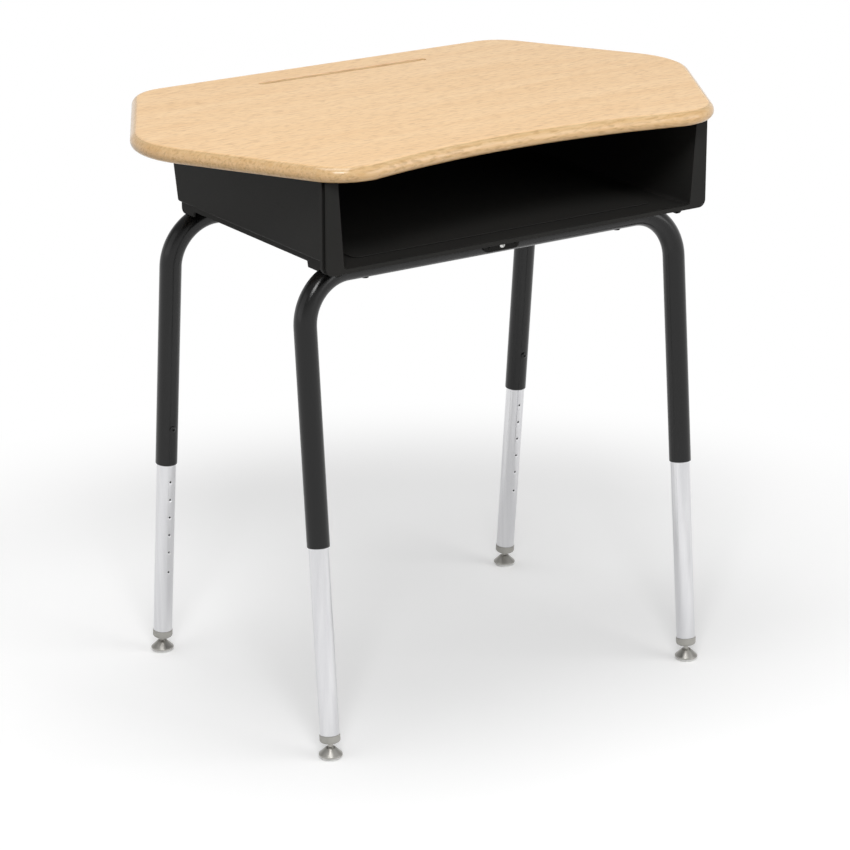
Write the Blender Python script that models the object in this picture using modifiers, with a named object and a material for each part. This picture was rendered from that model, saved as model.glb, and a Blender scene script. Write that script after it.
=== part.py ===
"""Study desk with an open-front book box and height-adjustable legs.

A one-piece moulded top with a pencil groove is screwed to a moulded book box. The box is screwed
to two bent-tube frames. In each tube end slides a dimpled leg insert, held by a lock screw, that
stands on a ball-jointed glide.

Metres, +Z up. The origin is on the floor under the middle of the desk. +Y points to the back of the
desk and -Y to the person sitting at it. Distances "along the leg" are counted from the floor, up the
leaning axis of the leg.
"""

import math

import bmesh
import bpy
from mathutils import Matrix, Vector

# Whole desk
DESK_HEIGHT = 0.7585
TOUCH_GAP = 0.0003
CUT_MARGIN = 0.002

# Top: plan corners before they are rounded, right half
TOP_THICKNESS = 0.01905
TOP_BACK_HALF_WIDTH = 0.28265
TOP_BACK_Y = 0.24535
TOP_SIDE_HALF_WIDTH = 0.42105
TOP_SIDE_Y = 0.0071
TOP_FRONT_HALF_WIDTH = 0.27315
TOP_FRONT_Y = -0.25705
TOP_FRONT_HOLLOW = 0.0395
TOP_BACK_CORNER_RADIUS = 0.0634
TOP_SIDE_CORNER_RADIUS = 0.1068
TOP_FRONT_CORNER_RADIUS = 0.0706
TOP_UPPER_EDGE_RADIUS = 0.0105
TOP_LOWER_EDGE_RADIUS = 0.008

# Pencil groove
GROOVE_LENGTH = 0.2585
GROOVE_WIDTH = 0.011
GROOVE_DEPTH = 0.005
GROOVE_FROM_BACK = 0.0599

# Book box: half width and back are the outer faces at its upper edge, counted from the cross runs
BOX_HEIGHT = 0.116
BOX_HALF_WIDTH = 0.271
BOX_FRONT_BEFORE_RUN = 0.0616
BOX_BACK_BEHIND_RUN = 0.0235
BOX_DRAFT_DEG = 4.15
BOX_WALL = 0.003
BOX_CORNER_RADIUS = 0.004
BOX_BOTTOM_RADIUS = 0.003
FLOOR_THICKNESS = 0.00585
LEDGE_THICKNESS = 0.00185

# Raised panel on the floor of the box
PANEL_RISE = 0.0016
PANEL_HALF_WIDTH = 0.225
PANEL_FROM_FRONT = 0.0325
PANEL_FROM_BACK = 0.018
PANEL_CORNER_RADIUS = 0.010

# Grooved bezel round the front of the box
BEZEL_HALF_WIDTH = 0.2854
BEZEL_DEPTH = 0.014
BEZEL_LIP = 0.0014
BEZEL_CORNER_RADIUS = 0.010
BEZEL_GROOVE_WIDTH = 0.0068
BEZEL_GROOVE_DEPTH = 0.005

# Flange round the upper edge of the box, under the top
FLANGE_WIDTH = 0.014
FLANGE_THICKNESS = 0.003

# Skirts along the sides of the thick floor, with a tab saddled on each tube
SKIRT_HALF_WIDTH = 0.257
SKIRT_THICKNESS = 0.003
SKIRT_DROP = 0.0043
SADDLE_DROP = 0.0117
SADDLE_CLEARANCE = 0.0004
SADDLE_CORNER_RADIUS = 0.007
TOE_DROP = 0.0091
TOE_CORNER_RADIUS = 0.009
FRONT_SADDLE_BEHIND_RUN = 0.0245
REAR_SADDLE_BEFORE_RUN = 0.0165
REAR_SADDLE_BEHIND_RUN = 0.0140

# Tab that hangs from the box in front of the front tube
CENTRE_TAB_HALF_WIDTH = 0.031
CENTRE_TAB_SLANT = 0.006
CENTRE_TAB_DROP = 0.0221
CENTRE_TAB_THICKNESS = 0.003
TAB_DOT_SPACING = 0.0200
TAB_DOT_DIAMETER = 0.0036

# Bent-tube frames
TUBE_DIAMETER = 0.028575
TUBE_WALL = 0.001245
BEND_RADIUS = 0.0635
LEG_HALF_SPACING = 0.2804
RUN_HALF_SPACING = 0.1554
LEG_SPLAY_DEG = 5.076

# Leg inserts
INSERT_DIAMETER = 0.0254
INSERT_WALL = 0.001245
INSERT_LENGTH = 0.3048
INSERT_OVERLAP = 0.062
DIMPLE_DIAMETER = 0.008
DIMPLE_DEPTH = 0.0009
HOLE_DIAMETER = 0.0027
HOLE_PITCH = 0.0254
HOLE_PITCHES = 7
LAST_HOLE_PITCH = 0.0287
TOP_HOLE_FROM_END = 0.0101

# End caps
CAP_DIAMETER = 0.0262
CAP_HEIGHT = 0.0103
CAP_CHAMFER = 0.002
CAP_END_WALL = 0.006
CAP_ABOVE_BALL = 0.0106

# Glides: a ball stem, a steel foot swaged over the ball, and a nylon pad under it
PAD_DIAMETER = 0.0246
PAD_THICKNESS = 0.005
BALL_DIAMETER = 0.0104
STEM_DIAMETER = 0.00635
STEM_LENGTH = 0.0256
FOOT_DIAMETER = 0.030
FOOT_RIM_ABOVE_FLOOR = 0.0041
FOOT_RIM_HEIGHT = 0.0018
FOOT_NECK_DIAMETER = 0.0124
FOOT_NECK_ABOVE_BALL = 0.0038
SOCKET_LIP_ABOVE_BALL = 0.0028
SOCKET_LIP_FLARE = 0.0005
SOCKET_SEAT_DIAMETER = 0.008

# Screws up through the tubes into blind holes in the thick floor
FRAME_SCREW_HALF_SPACING = 0.191
FRAME_SCREW_DIAMETER = 0.0048
FRAME_SCREW_HEAD_DIAMETER = 0.0096
FRAME_SCREW_HEAD_HEIGHT = 0.001
FRAME_SCREW_COVER = 0.0008

# Wood screws through the flange into the top
TOP_SCREW_SIDE_YS = (-0.120, 0.060)
TOP_SCREW_BACK_HALF_SPACING = 0.150
TOP_SCREW_DIAMETER = 0.004
TOP_SCREW_BITE = 0.010
TOP_SCREW_HEAD_DIAMETER = 0.008
TOP_SCREW_HEAD_HEIGHT = 0.0025
PILOT_SPARE_DEPTH = 0.001

# Lock screws in the tubes, and the screw in the centre tab
LOCK_SCREW_DIAMETER = 0.005
LOCK_SCREW_HEAD_DIAMETER = 0.0085
LOCK_SCREW_HEAD_HEIGHT = 0.0025
LOCK_TIP_GAP = 0.0004
TAB_SCREW_DIAMETER = 0.004
TAB_SCREW_LENGTH = 0.012
TAB_SCREW_HEAD_DIAMETER = 0.0084
TAB_SCREW_HEAD_HEIGHT = 0.0026

# Facets
TUBE_BEVEL_RESOLUTION = 8
BEND_SEGMENTS = 8
INSERT_STEPS = 20
TURN_STEPS = 16
SMALL_TURN_STEPS = 12
HOLE_SEGMENTS = 8
CORNER_SEGMENTS = 6
CUP_SEGMENTS = 4
HOLLOW_SEGMENTS = 12
MERGE_DISTANCE = 0.00001
SMOOTH_ANGLE = math.radians(40)

# Places worked out from the sizes above
SPLAY = math.radians(LEG_SPLAY_DEG)
TOP_UNDERSIDE_Z = DESK_HEIGHT - TOP_THICKNESS
BOX_TOP_Z = TOP_UNDERSIDE_Z - TOUCH_GAP
BOX_UNDERSIDE_Z = BOX_TOP_Z - BOX_HEIGHT
FLOOR_TOP_Z = BOX_UNDERSIDE_Z + FLOOR_THICKNESS
LEDGE_Z = FLOOR_TOP_Z - LEDGE_THICKNESS
PANEL_TOP_Z = FLOOR_TOP_Z + PANEL_RISE
FLANGE_UNDERSIDE_Z = BOX_TOP_Z - FLANGE_THICKNESS
BOX_FRONT_Y = -RUN_HALF_SPACING - BOX_FRONT_BEFORE_RUN
BOX_BACK_Y = RUN_HALF_SPACING + BOX_BACK_BEHIND_RUN
BEZEL_BACK_Y = BOX_FRONT_Y + BEZEL_DEPTH
SKIRT_BACK_Y = RUN_HALF_SPACING + REAR_SADDLE_BEHIND_RUN
TUBE_RADIUS = TUBE_DIAMETER / 2
TUBE_BORE_RADIUS = TUBE_RADIUS - TUBE_WALL
RUN_Z = BOX_UNDERSIDE_Z - TOUCH_GAP - TUBE_RADIUS
FOOT_Y = RUN_HALF_SPACING + RUN_Z * math.tan(SPLAY)
RUN_ALONG_LEG = RUN_Z / math.cos(SPLAY)
BALL_RADIUS = BALL_DIAMETER / 2
BALL_Z = PAD_THICKNESS + TOUCH_GAP + BALL_RADIUS
BALL_Y = FOOT_Y - BALL_Z * math.tan(SPLAY)
BALL_ALONG_LEG = BALL_Z / math.cos(SPLAY)
CAP_BOTTOM = BALL_ALONG_LEG + CAP_ABOVE_BALL
INSERT_BOTTOM = CAP_BOTTOM + CAP_HEIGHT + TOUCH_GAP
INSERT_TOP = INSERT_BOTTOM + INSERT_LENGTH
INSERT_RADIUS = INSERT_DIAMETER / 2
TUBE_END = INSERT_TOP - INSERT_OVERLAP
LOCK_HOLE = INSERT_TOP - TOP_HOLE_FROM_END

LEGS = {
    "front_left": (-1, -1),
    "front_right": (1, -1),
    "rear_left": (-1, 1),
    "rear_right": (1, 1),
}


def clear_scene():
    """Removes every object and makes the two collections the desk is sorted into."""
    for obj in list(bpy.data.objects):
        bpy.data.objects.remove(obj)
    for name in ("study_desk", "study_desk_cutters"):
        bpy.context.scene.collection.children.link(bpy.data.collections.new(name))


def finish_material(name, colour, roughness, metallic):
    """A Principled material of one finish."""
    material = bpy.data.materials.new(name)
    material.use_nodes = True
    shader = material.node_tree.nodes["Principled BSDF"]
    shader.inputs["Base Color"].default_value = (*colour, 1.0)
    shader.inputs["Roughness"].default_value = roughness
    shader.inputs["Metallic"].default_value = metallic
    return material


def add_object(name, mesh, parent, material=None):
    """Links a mesh as a part of the desk, or as a cutter where it has no material."""
    obj = bpy.data.objects.new(name, mesh)
    obj.parent = parent
    if material is None:
        obj.hide_render = True
        obj.display_type = "WIRE"
        bpy.data.collections["study_desk_cutters"].objects.link(obj)
    else:
        mesh.materials.append(material)
        bpy.data.collections["study_desk"].objects.link(obj)
    return obj


def add_empty(name, location, rotation, parent=None):
    """An empty that carries pieces by its place and lean."""
    empty = bpy.data.objects.new(name, None)
    empty.location = location
    empty.rotation_euler = rotation
    empty.parent = parent
    bpy.data.collections["study_desk"].objects.link(empty)
    return empty


def mesh_from(bm, name):
    """Closes a bmesh into a mesh with smooth round faces."""
    bmesh.ops.recalc_face_normals(bm, faces=bm.faces)
    mesh = bpy.data.meshes.new(name)
    bm.to_mesh(mesh)
    bm.free()
    mesh.shade_smooth()
    mesh.set_sharp_from_angle(angle=SMOOTH_ANGLE)
    return mesh


def block(low, high):
    """A box between two corners, as a bmesh."""
    low, high = Vector(low), Vector(high)
    bm = bmesh.new()
    bmesh.ops.create_cube(bm, size=1.0)
    bmesh.ops.scale(bm, vec=high - low, verts=bm.verts)
    bmesh.ops.translate(bm, vec=(low + high) / 2, verts=bm.verts)
    return bm


def round_edges(bm, wanted, radius, segments):
    """Rounds the edges whose middle and direction the wanted function accepts."""
    edges = []
    for edge in bm.edges:
        start, end = edge.verts[0].co, edge.verts[1].co
        if wanted((start + end) / 2, (end - start).normalized()):
            edges.append(edge)
    bmesh.ops.bevel(
        bm,
        geom=edges,
        offset=radius,
        offset_type="OFFSET",
        segments=segments,
        profile=0.5,
        affect="EDGES",
        material=-1,
    )


def add_block(name, low, high, parent=None, material=None):
    """A plain box object."""
    return add_object(name, mesh_from(block(low, high), name), parent, material)


def add_turned(name, profile, steps, parent=None, material=None):
    """A turned object: (radius, height) points, outer side first from the top, swept round Z.

    A profile that keeps clear of the axis is closed into a ring.
    """
    bm = bmesh.new()
    verts = [bm.verts.new((radius, 0.0, height)) for radius, height in profile]
    for start, end in zip(verts, verts[1:]):
        bm.edges.new((start, end))
    if min(radius for radius, height in profile) > 0:
        bm.edges.new((verts[-1], verts[0]))
    mesh = bpy.data.meshes.new(name)
    bm.to_mesh(mesh)
    bm.free()
    obj = add_object(name, mesh, parent, material)
    turn = obj.modifiers.new("turn", "SCREW")
    turn.axis = "Z"
    turn.angle = 2 * math.pi
    turn.steps = steps
    turn.render_steps = steps
    turn.use_merge_vertices = True
    turn.merge_threshold = MERGE_DISTANCE
    turn.use_smooth_shade = True
    return obj


def add_drill(name, radius, low, high, parent=None):
    """A round cutter along its own Z."""
    profile = [(0.0, high), (radius, high), (radius, low), (0.0, low)]
    return add_turned(name, profile, SMALL_TURN_STEPS, parent)


def combine(obj, other, operation):
    """Cuts another object out of this one, or joins it on."""
    modifier = obj.modifiers.new(f"{operation.lower()} {other.name}", "BOOLEAN")
    modifier.operation = operation
    modifier.solver = "EXACT"
    modifier.object = other


def mesh_from_curve(curve, name):
    """The closed mesh of a curve with filled caps."""
    guide = bpy.data.objects.new(name, curve)
    bpy.context.scene.collection.objects.link(guide)
    graph = bpy.context.evaluated_depsgraph_get()
    mesh = bpy.data.meshes.new_from_object(guide.evaluated_get(graph))
    bpy.data.objects.remove(guide)
    bpy.data.curves.remove(curve)
    bm = bmesh.new()
    bm.from_mesh(mesh)
    bpy.data.meshes.remove(mesh)
    bmesh.ops.remove_doubles(bm, verts=bm.verts, dist=MERGE_DISTANCE)
    return bm


def poly_curve(name, points, cyclic):
    """A curve of straight steps through the points."""
    curve = bpy.data.curves.new(name, "CURVE")
    spline = curve.splines.new("POLY")
    spline.points.add(len(points) - 1)
    for spline_point, point in zip(spline.points, points):
        spline_point.co = (*point, 1.0)
    spline.use_cyclic_u = cyclic
    return curve


def arc(centre, radius, start, end, segments):
    """Points of an arc in a plane, from the start angle to the end angle."""
    angles = [start + (end - start) * step / segments for step in range(segments + 1)]
    return [centre + radius * Vector((math.cos(angle), math.sin(angle))) for angle in angles]


def rounded_corner(before, corner, after, radius):
    """The arc that rounds a corner between two straight edges, both turning left."""
    back, ahead = (before - corner).normalized(), (after - corner).normalized()
    half_angle = back.angle(ahead) / 2
    centre = corner + (back + ahead).normalized() * radius / math.sin(half_angle)
    start = math.atan2(*(corner + back * radius / math.tan(half_angle) - centre).yx)
    return arc(centre, radius, start, start + math.pi - 2 * half_angle, CORNER_SEGMENTS)


def top_outline():
    """Plan of the top, counter-clockwise from the middle of its hollow front edge."""
    front = Vector((TOP_FRONT_HALF_WIDTH, TOP_FRONT_Y))
    side = Vector((TOP_SIDE_HALF_WIDTH, TOP_SIDE_Y))
    back = Vector((TOP_BACK_HALF_WIDTH, TOP_BACK_Y))
    hollow_radius = (TOP_FRONT_HALF_WIDTH**2 + TOP_FRONT_HOLLOW**2) / (2 * TOP_FRONT_HOLLOW)
    hollow_centre = Vector((0.0, TOP_FRONT_Y + TOP_FRONT_HOLLOW - hollow_radius))
    # The front corner's arc touches the side edge and, from outside, the hollow's circle.
    along = (side - front).normalized()
    outward = Vector((along.y, -along.x))
    start = front - outward * TOP_FRONT_CORNER_RADIUS
    offset = start - hollow_centre
    reach = hollow_radius + TOP_FRONT_CORNER_RADIUS
    lean = offset.dot(along)
    corner_centre = start + along * (math.sqrt(lean**2 - offset.length_squared + reach**2) - lean)
    to_corner = corner_centre - hollow_centre
    corner_angle = math.atan2(to_corner.y, to_corner.x)
    side_angle = math.atan2(outward.y, outward.x)
    hollow = arc(hollow_centre, hollow_radius, math.pi / 2, corner_angle, HOLLOW_SEGMENTS)
    corner = arc(
        corner_centre, TOP_FRONT_CORNER_RADIUS, corner_angle - math.pi, side_angle, CORNER_SEGMENTS
    )
    side_arc = rounded_corner(front, side, back, TOP_SIDE_CORNER_RADIUS)
    back_arc = rounded_corner(side, back, Vector((-back.x, back.y)), TOP_BACK_CORNER_RADIUS)
    half = hollow + corner[1:] + side_arc + back_arc
    return half + [Vector((-point.x, point.y)) for point in reversed(half[1:])]


def build_top(material):
    """The moulded top: the plan made thick, its two edges rounded and the pencil groove cut."""
    curve = poly_curve("desk_top_plan", [(*point, 0.0) for point in top_outline()], True)
    curve.dimensions = "2D"
    curve.fill_mode = "BOTH"
    curve.extrude = TOP_THICKNESS / 2
    bm = mesh_from_curve(curve, "desk_top_plan")
    bmesh.ops.dissolve_limit(bm, angle_limit=math.radians(0.1), verts=bm.verts, edges=bm.edges)
    bmesh.ops.translate(bm, vec=(0.0, 0.0, DESK_HEIGHT - TOP_THICKNESS / 2), verts=bm.verts)
    under_z = DESK_HEIGHT - TOP_THICKNESS + TOUCH_GAP
    over_z = DESK_HEIGHT - TOUCH_GAP

    def level(direction):
        return abs(direction.z) < 0.5

    round_edges(bm, lambda mid, way: level(way) and mid.z > over_z, TOP_UPPER_EDGE_RADIUS, 4)
    round_edges(bm, lambda mid, way: level(way) and mid.z < under_z, TOP_LOWER_EDGE_RADIUS, 3)
    top = add_object("desk_top", mesh_from(bm, "desk_top"), None, material)

    # The groove is a ball-ended cutter whose chord at the surface is the groove's width.
    radius = ((GROOVE_WIDTH / 2) ** 2 + GROOVE_DEPTH**2) / (2 * GROOVE_DEPTH)
    half_length = GROOVE_LENGTH / 2 - GROOVE_WIDTH / 2
    upper = arc(Vector((0.0, half_length)), radius, math.pi / 2, 0.0, CORNER_SEGMENTS // 2)
    lower = arc(Vector((0.0, -half_length)), radius, 0.0, -math.pi / 2, CORNER_SEGMENTS // 2)
    profile = [(max(point.x, 0.0), point.y) for point in upper + lower]
    profile[0] = (0.0, profile[0][1])
    profile[-1] = (0.0, profile[-1][1])
    groove = add_turned("pencil_groove", profile, TURN_STEPS)
    groove.location = (0.0, TOP_BACK_Y - GROOVE_FROM_BACK, DESK_HEIGHT - GROOVE_DEPTH + radius)
    groove.rotation_euler = (0.0, math.pi / 2, 0.0)
    combine(top, groove, "DIFFERENCE")
    return top


def drafted_block(inset, front, low, high):
    """A block with the box's leaning sides and back, moved inwards by the inset, as a bmesh."""
    bm = block((-BOX_HALF_WIDTH, front, low), (BOX_HALF_WIDTH, BOX_BACK_Y, high))
    for vert in bm.verts:
        inwards = inset + (BOX_TOP_Z - vert.co.z) * math.tan(math.radians(BOX_DRAFT_DEG))
        vert.co.x -= math.copysign(inwards, vert.co.x)
        if vert.co.y > front + CUT_MARGIN:
            vert.co.y -= inwards
    middle_y = (front + BOX_BACK_Y) / 2
    radius = max(BOX_CORNER_RADIUS - inset, BOX_CORNER_RADIUS / 4)
    round_edges(bm, lambda mid, way: abs(way.z) > 0.5 and mid.y > middle_y, radius, 3)
    return bm


def bezel_slab(name, half_width, back):
    """One layer of the bezel, from its front face to the back given, with round lower corners."""
    low = (-half_width, BOX_FRONT_Y, BOX_UNDERSIDE_Z)
    bm = block(low, (half_width, back, BOX_TOP_Z))
    middle_z = (BOX_UNDERSIDE_Z + BOX_TOP_Z) / 2
    radius = BEZEL_CORNER_RADIUS
    round_edges(bm, lambda mid, way: abs(way.y) > 0.5 and mid.z < middle_z, radius, 3)
    return add_object(name, mesh_from(bm, name), None)


def build_bezel():
    """The three layers of the bezel: front lip, groove bottom and back lip."""
    groove_half_width = BEZEL_HALF_WIDTH - BEZEL_GROOVE_DEPTH
    front_lip = bezel_slab("bezel_front_lip", BEZEL_HALF_WIDTH, BOX_FRONT_Y + BEZEL_LIP)
    core = bezel_slab("bezel_core", groove_half_width, BEZEL_BACK_Y - CUT_MARGIN)
    back_lip = bezel_slab("bezel_back_lip", BEZEL_HALF_WIDTH, BEZEL_BACK_Y)
    groove_end = BOX_FRONT_Y + BEZEL_LIP + BEZEL_GROOVE_WIDTH
    front_cut = add_block(
        "bezel_back_lip_front",
        (-BEZEL_HALF_WIDTH - CUT_MARGIN, BOX_FRONT_Y - CUT_MARGIN, BOX_UNDERSIDE_Z - CUT_MARGIN),
        (BEZEL_HALF_WIDTH + CUT_MARGIN, groove_end, BOX_TOP_Z + CUT_MARGIN),
    )
    combine(back_lip, front_cut, "DIFFERENCE")
    return [front_lip, core, back_lip]


def build_flange():
    """The flange round the upper edge, which the top is screwed down on."""
    back = BOX_BACK_Y + FLANGE_WIDTH
    low = (-BOX_HALF_WIDTH - FLANGE_WIDTH, BEZEL_BACK_Y - CUT_MARGIN, FLANGE_UNDERSIDE_Z)
    bm = block(low, (BOX_HALF_WIDTH + FLANGE_WIDTH, back, BOX_TOP_Z))
    radius = BOX_CORNER_RADIUS + FLANGE_WIDTH
    round_edges(bm, lambda mid, way: abs(way.z) > 0.5 and mid.y > 0, radius, 4)
    return add_object("box_flange", mesh_from(bm, "box_flange"), None)


def build_skirt(side, tube_cutters):
    """The rib under one side of the box, its two saddles notched over the tubes."""
    name = "skirt_left" if side < 0 else "skirt_right"
    front = BEZEL_BACK_Y - CUT_MARGIN
    upper = LEDGE_Z + LEDGE_THICKNESS / 3
    rib_low = BOX_UNDERSIDE_Z - SKIRT_DROP
    saddle_low = BOX_UNDERSIDE_Z - SADDLE_DROP
    front_saddle_end = FRONT_SADDLE_BEHIND_RUN - RUN_HALF_SPACING
    rear_saddle_start = RUN_HALF_SPACING - REAR_SADDLE_BEFORE_RUN
    toe_low = BOX_UNDERSIDE_Z - TOE_DROP
    radius = TOE_CORNER_RADIUS
    toe = arc(Vector((front + radius, toe_low + radius)), radius, math.pi, 1.5 * math.pi, 3)
    radius = SADDLE_CORNER_RADIUS
    corner = arc(
        Vector((SKIRT_BACK_Y - radius, saddle_low + radius)), radius, -math.pi / 2, 0.0, 3
    )
    outline = [
        (front, upper),
        *[(point.x, point.y) for point in toe],
        (-RUN_HALF_SPACING, toe_low),
        (-RUN_HALF_SPACING, saddle_low),
        (front_saddle_end, saddle_low),
        (front_saddle_end, rib_low),
        (rear_saddle_start, rib_low),
        (rear_saddle_start, saddle_low),
        *[(point.x, point.y) for point in corner],
        (SKIRT_BACK_Y, upper),
    ]
    bm = bmesh.new()
    side_face = bm.faces.new(
        [bm.verts.new((side * SKIRT_HALF_WIDTH, y, z)) for y, z in outline]
    )
    inner = bmesh.ops.extrude_face_region(bm, geom=[side_face])["geom"]
    inner_verts = [item for item in inner if isinstance(item, bmesh.types.BMVert)]
    bmesh.ops.translate(bm, verts=inner_verts, vec=(-side * SKIRT_THICKNESS, 0.0, 0.0))
    skirt = add_object(name, mesh_from(bm, name), None)
    for cutter in tube_cutters:
        combine(skirt, cutter, "DIFFERENCE")
    return skirt


def build_thick_floor():
    """The thick middle of the floor, set in from the walls and closed at the sides by the skirts."""
    half_width = SKIRT_HALF_WIDTH - SKIRT_THICKNESS / 2
    return add_block(
        "thick_floor",
        (-half_width, BEZEL_BACK_Y - 2 * CUT_MARGIN, BOX_UNDERSIDE_Z),
        (half_width, SKIRT_BACK_Y - SKIRT_THICKNESS / 2, LEDGE_Z + LEDGE_THICKNESS / 2),
    )


def build_centre_tab():
    """The tab in front of the front tube, narrower at its foot, with a moulded dot each side."""
    back = -RUN_HALF_SPACING - TUBE_RADIUS - TOUCH_GAP
    front = back - CENTRE_TAB_THICKNESS
    low = BOX_UNDERSIDE_Z - CENTRE_TAB_DROP
    bm = block(
        (-CENTRE_TAB_HALF_WIDTH, front, low),
        (CENTRE_TAB_HALF_WIDTH, back, BOX_UNDERSIDE_Z + CUT_MARGIN),
    )
    for vert in bm.verts:
        if vert.co.z < BOX_UNDERSIDE_Z:
            vert.co.x -= math.copysign(CENTRE_TAB_SLANT, vert.co.x)
    tab = add_object("centre_tab", mesh_from(bm, "centre_tab"), None)
    for side in (-1, 1):
        dot = add_drill(
            f"tab_dot_{side}",
            TAB_DOT_DIAMETER / 2,
            -CENTRE_TAB_THICKNESS - CUT_MARGIN,
            CENTRE_TAB_THICKNESS / 2,
        )
        dot.location = (side * TAB_DOT_SPACING, front, RUN_Z)
        dot.rotation_euler = (-math.pi / 2, 0.0, 0.0)
        combine(tab, dot, "DIFFERENCE")
    return tab


def build_box(material, tube_cutters, drills):
    """The book box: a drafted tray with its bezel, flange, skirts and tab joined on, then hollowed."""
    bm = drafted_block(0.0, BEZEL_BACK_Y - BEZEL_DEPTH / 2, LEDGE_Z, BOX_TOP_Z)

    def lower_edge(mid, way):
        return mid.z < LEDGE_Z + MERGE_DISTANCE and mid.y > BEZEL_BACK_Y

    round_edges(bm, lower_edge, BOX_BOTTOM_RADIUS, 2)
    box = add_object("book_box", mesh_from(bm, "book_box"), None, material)
    pieces = [*build_bezel(), build_flange(), build_thick_floor(), build_centre_tab()]
    pieces += [build_skirt(side, tube_cutters) for side in (-1, 1)]
    for piece in pieces:
        combine(box, piece, "UNION")

    inside = drafted_block(BOX_WALL, BOX_FRONT_Y - CUT_MARGIN, FLOOR_TOP_Z, BOX_TOP_Z + CUT_MARGIN)
    combine(box, add_object("box_inside", mesh_from(inside, "box_inside"), None), "DIFFERENCE")

    draft = math.tan(math.radians(BOX_DRAFT_DEG))
    floor_back = BOX_BACK_Y - BOX_WALL - (BOX_TOP_Z - FLOOR_TOP_Z) * draft
    panel = block(
        (-PANEL_HALF_WIDTH, BOX_FRONT_Y + PANEL_FROM_FRONT, FLOOR_TOP_Z - PANEL_RISE),
        (PANEL_HALF_WIDTH, floor_back - PANEL_FROM_BACK, PANEL_TOP_Z),
    )
    round_edges(panel, lambda mid, way: abs(way.z) > 0.5, PANEL_CORNER_RADIUS, 3)
    combine(box, add_object("raised_panel", mesh_from(panel, "raised_panel"), None), "UNION")
    for drill in drills:
        combine(box, drill, "DIFFERENCE")
    return box


def frame_bar(name, radius, past_end):
    """A solid bar along a frame: up one leg, over the cross run and down the other leg."""
    bend_height = RUN_ALONG_LEG - BEND_RADIUS
    bend_x = LEG_HALF_SPACING - BEND_RADIUS
    left = arc(Vector((-bend_x, bend_height)), BEND_RADIUS, math.pi, math.pi / 2, BEND_SEGMENTS)
    right = arc(Vector((bend_x, bend_height)), BEND_RADIUS, math.pi / 2, 0.0, BEND_SEGMENTS)
    end = TUBE_END - past_end
    plan = [Vector((-LEG_HALF_SPACING, end)), *left, *right, Vector((LEG_HALF_SPACING, end))]
    curve = poly_curve(name, [(point.x, 0.0, point.y) for point in plan], False)
    curve.dimensions = "3D"
    curve.bevel_depth = radius
    curve.bevel_resolution = TUBE_BEVEL_RESOLUTION
    curve.use_fill_caps = True
    return mesh_from(mesh_from_curve(curve, name), name)


def build_frame(place, axis, material, drills):
    """One bent tube, bored along its whole length and drilled for its frame and lock screws."""
    frame = add_object(f"{place}_leg_frame", frame_bar("frame", TUBE_RADIUS, 0.0), axis, material)
    bore_bar = frame_bar("frame_bore", TUBE_BORE_RADIUS, CUT_MARGIN)
    combine(frame, add_object(f"{place}_frame_bore", bore_bar, axis), "DIFFERENCE")
    for side in (-1, 1):
        hole = add_drill(
            f"{place}_lock_hole_{side}",
            LOCK_SCREW_DIAMETER / 2 + TOUCH_GAP,
            INSERT_RADIUS / 2,
            TUBE_RADIUS + CUT_MARGIN,
            axis,
        )
        hole.location = (side * LEG_HALF_SPACING, 0.0, LOCK_HOLE)
        hole.rotation_euler = (math.pi / 2, 0.0, 0.0)
        combine(frame, hole, "DIFFERENCE")
    for drill in drills:
        combine(frame, drill, "DIFFERENCE")
    return frame


def build_insert(leg, axis, material):
    """A leg insert: a tube with a row of adjusting dimples down the wall that faces under the desk."""
    bore = INSERT_RADIUS - INSERT_WALL
    profile = [
        (INSERT_RADIUS, INSERT_TOP),
        (INSERT_RADIUS, INSERT_BOTTOM),
        (bore, INSERT_BOTTOM),
        (bore, INSERT_TOP),
    ]
    insert = add_turned(f"leg_insert_{leg}", profile, INSERT_STEPS, axis, material)
    heights = [LOCK_HOLE - step * HOLE_PITCH for step in range(HOLE_PITCHES + 1)]
    heights.append(heights[-1] - LAST_HOLE_PITCH)
    # Each cutter is a cone that goes on outwards past the surface, with a drill below its point.
    mouth, drill = DIMPLE_DIAMETER / 2, HOLE_DIAMETER / 2
    outside = mouth + (mouth - drill) * CUT_MARGIN / DIMPLE_DEPTH
    cone_depth = DIMPLE_DEPTH + CUT_MARGIN
    bm = bmesh.new()
    for height in heights:
        centre = (0.0, -INSERT_RADIUS - CUT_MARGIN + cone_depth / 2, height)
        cone = bmesh.ops.create_cone(
            bm,
            cap_ends=True,
            segments=HOLE_SEGMENTS,
            radius1=outside,
            radius2=drill,
            depth=cone_depth,
            matrix=Matrix.Translation(centre) @ Matrix.Rotation(-math.pi / 2, 4, "X"),
        )
        inner_y = max(vert.co.y for vert in cone["verts"])
        point = [
            face
            for face in {face for vert in cone["verts"] for face in vert.link_faces}
            if all(vert.co.y > inner_y - MERGE_DISTANCE for vert in face.verts)
        ]
        shaft = bmesh.ops.extrude_face_region(bm, geom=point)["geom"]
        bmesh.ops.delete(bm, geom=point, context="FACES_KEEP_BOUNDARY")
        ends = [item for item in shaft if isinstance(item, bmesh.types.BMVert)]
        bmesh.ops.translate(bm, verts=ends, vec=(0.0, bore / 2, 0.0))
    name = f"insert_holes_{leg}"
    combine(insert, add_object(name, mesh_from(bm, name), axis), "DIFFERENCE")
    return insert


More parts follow.
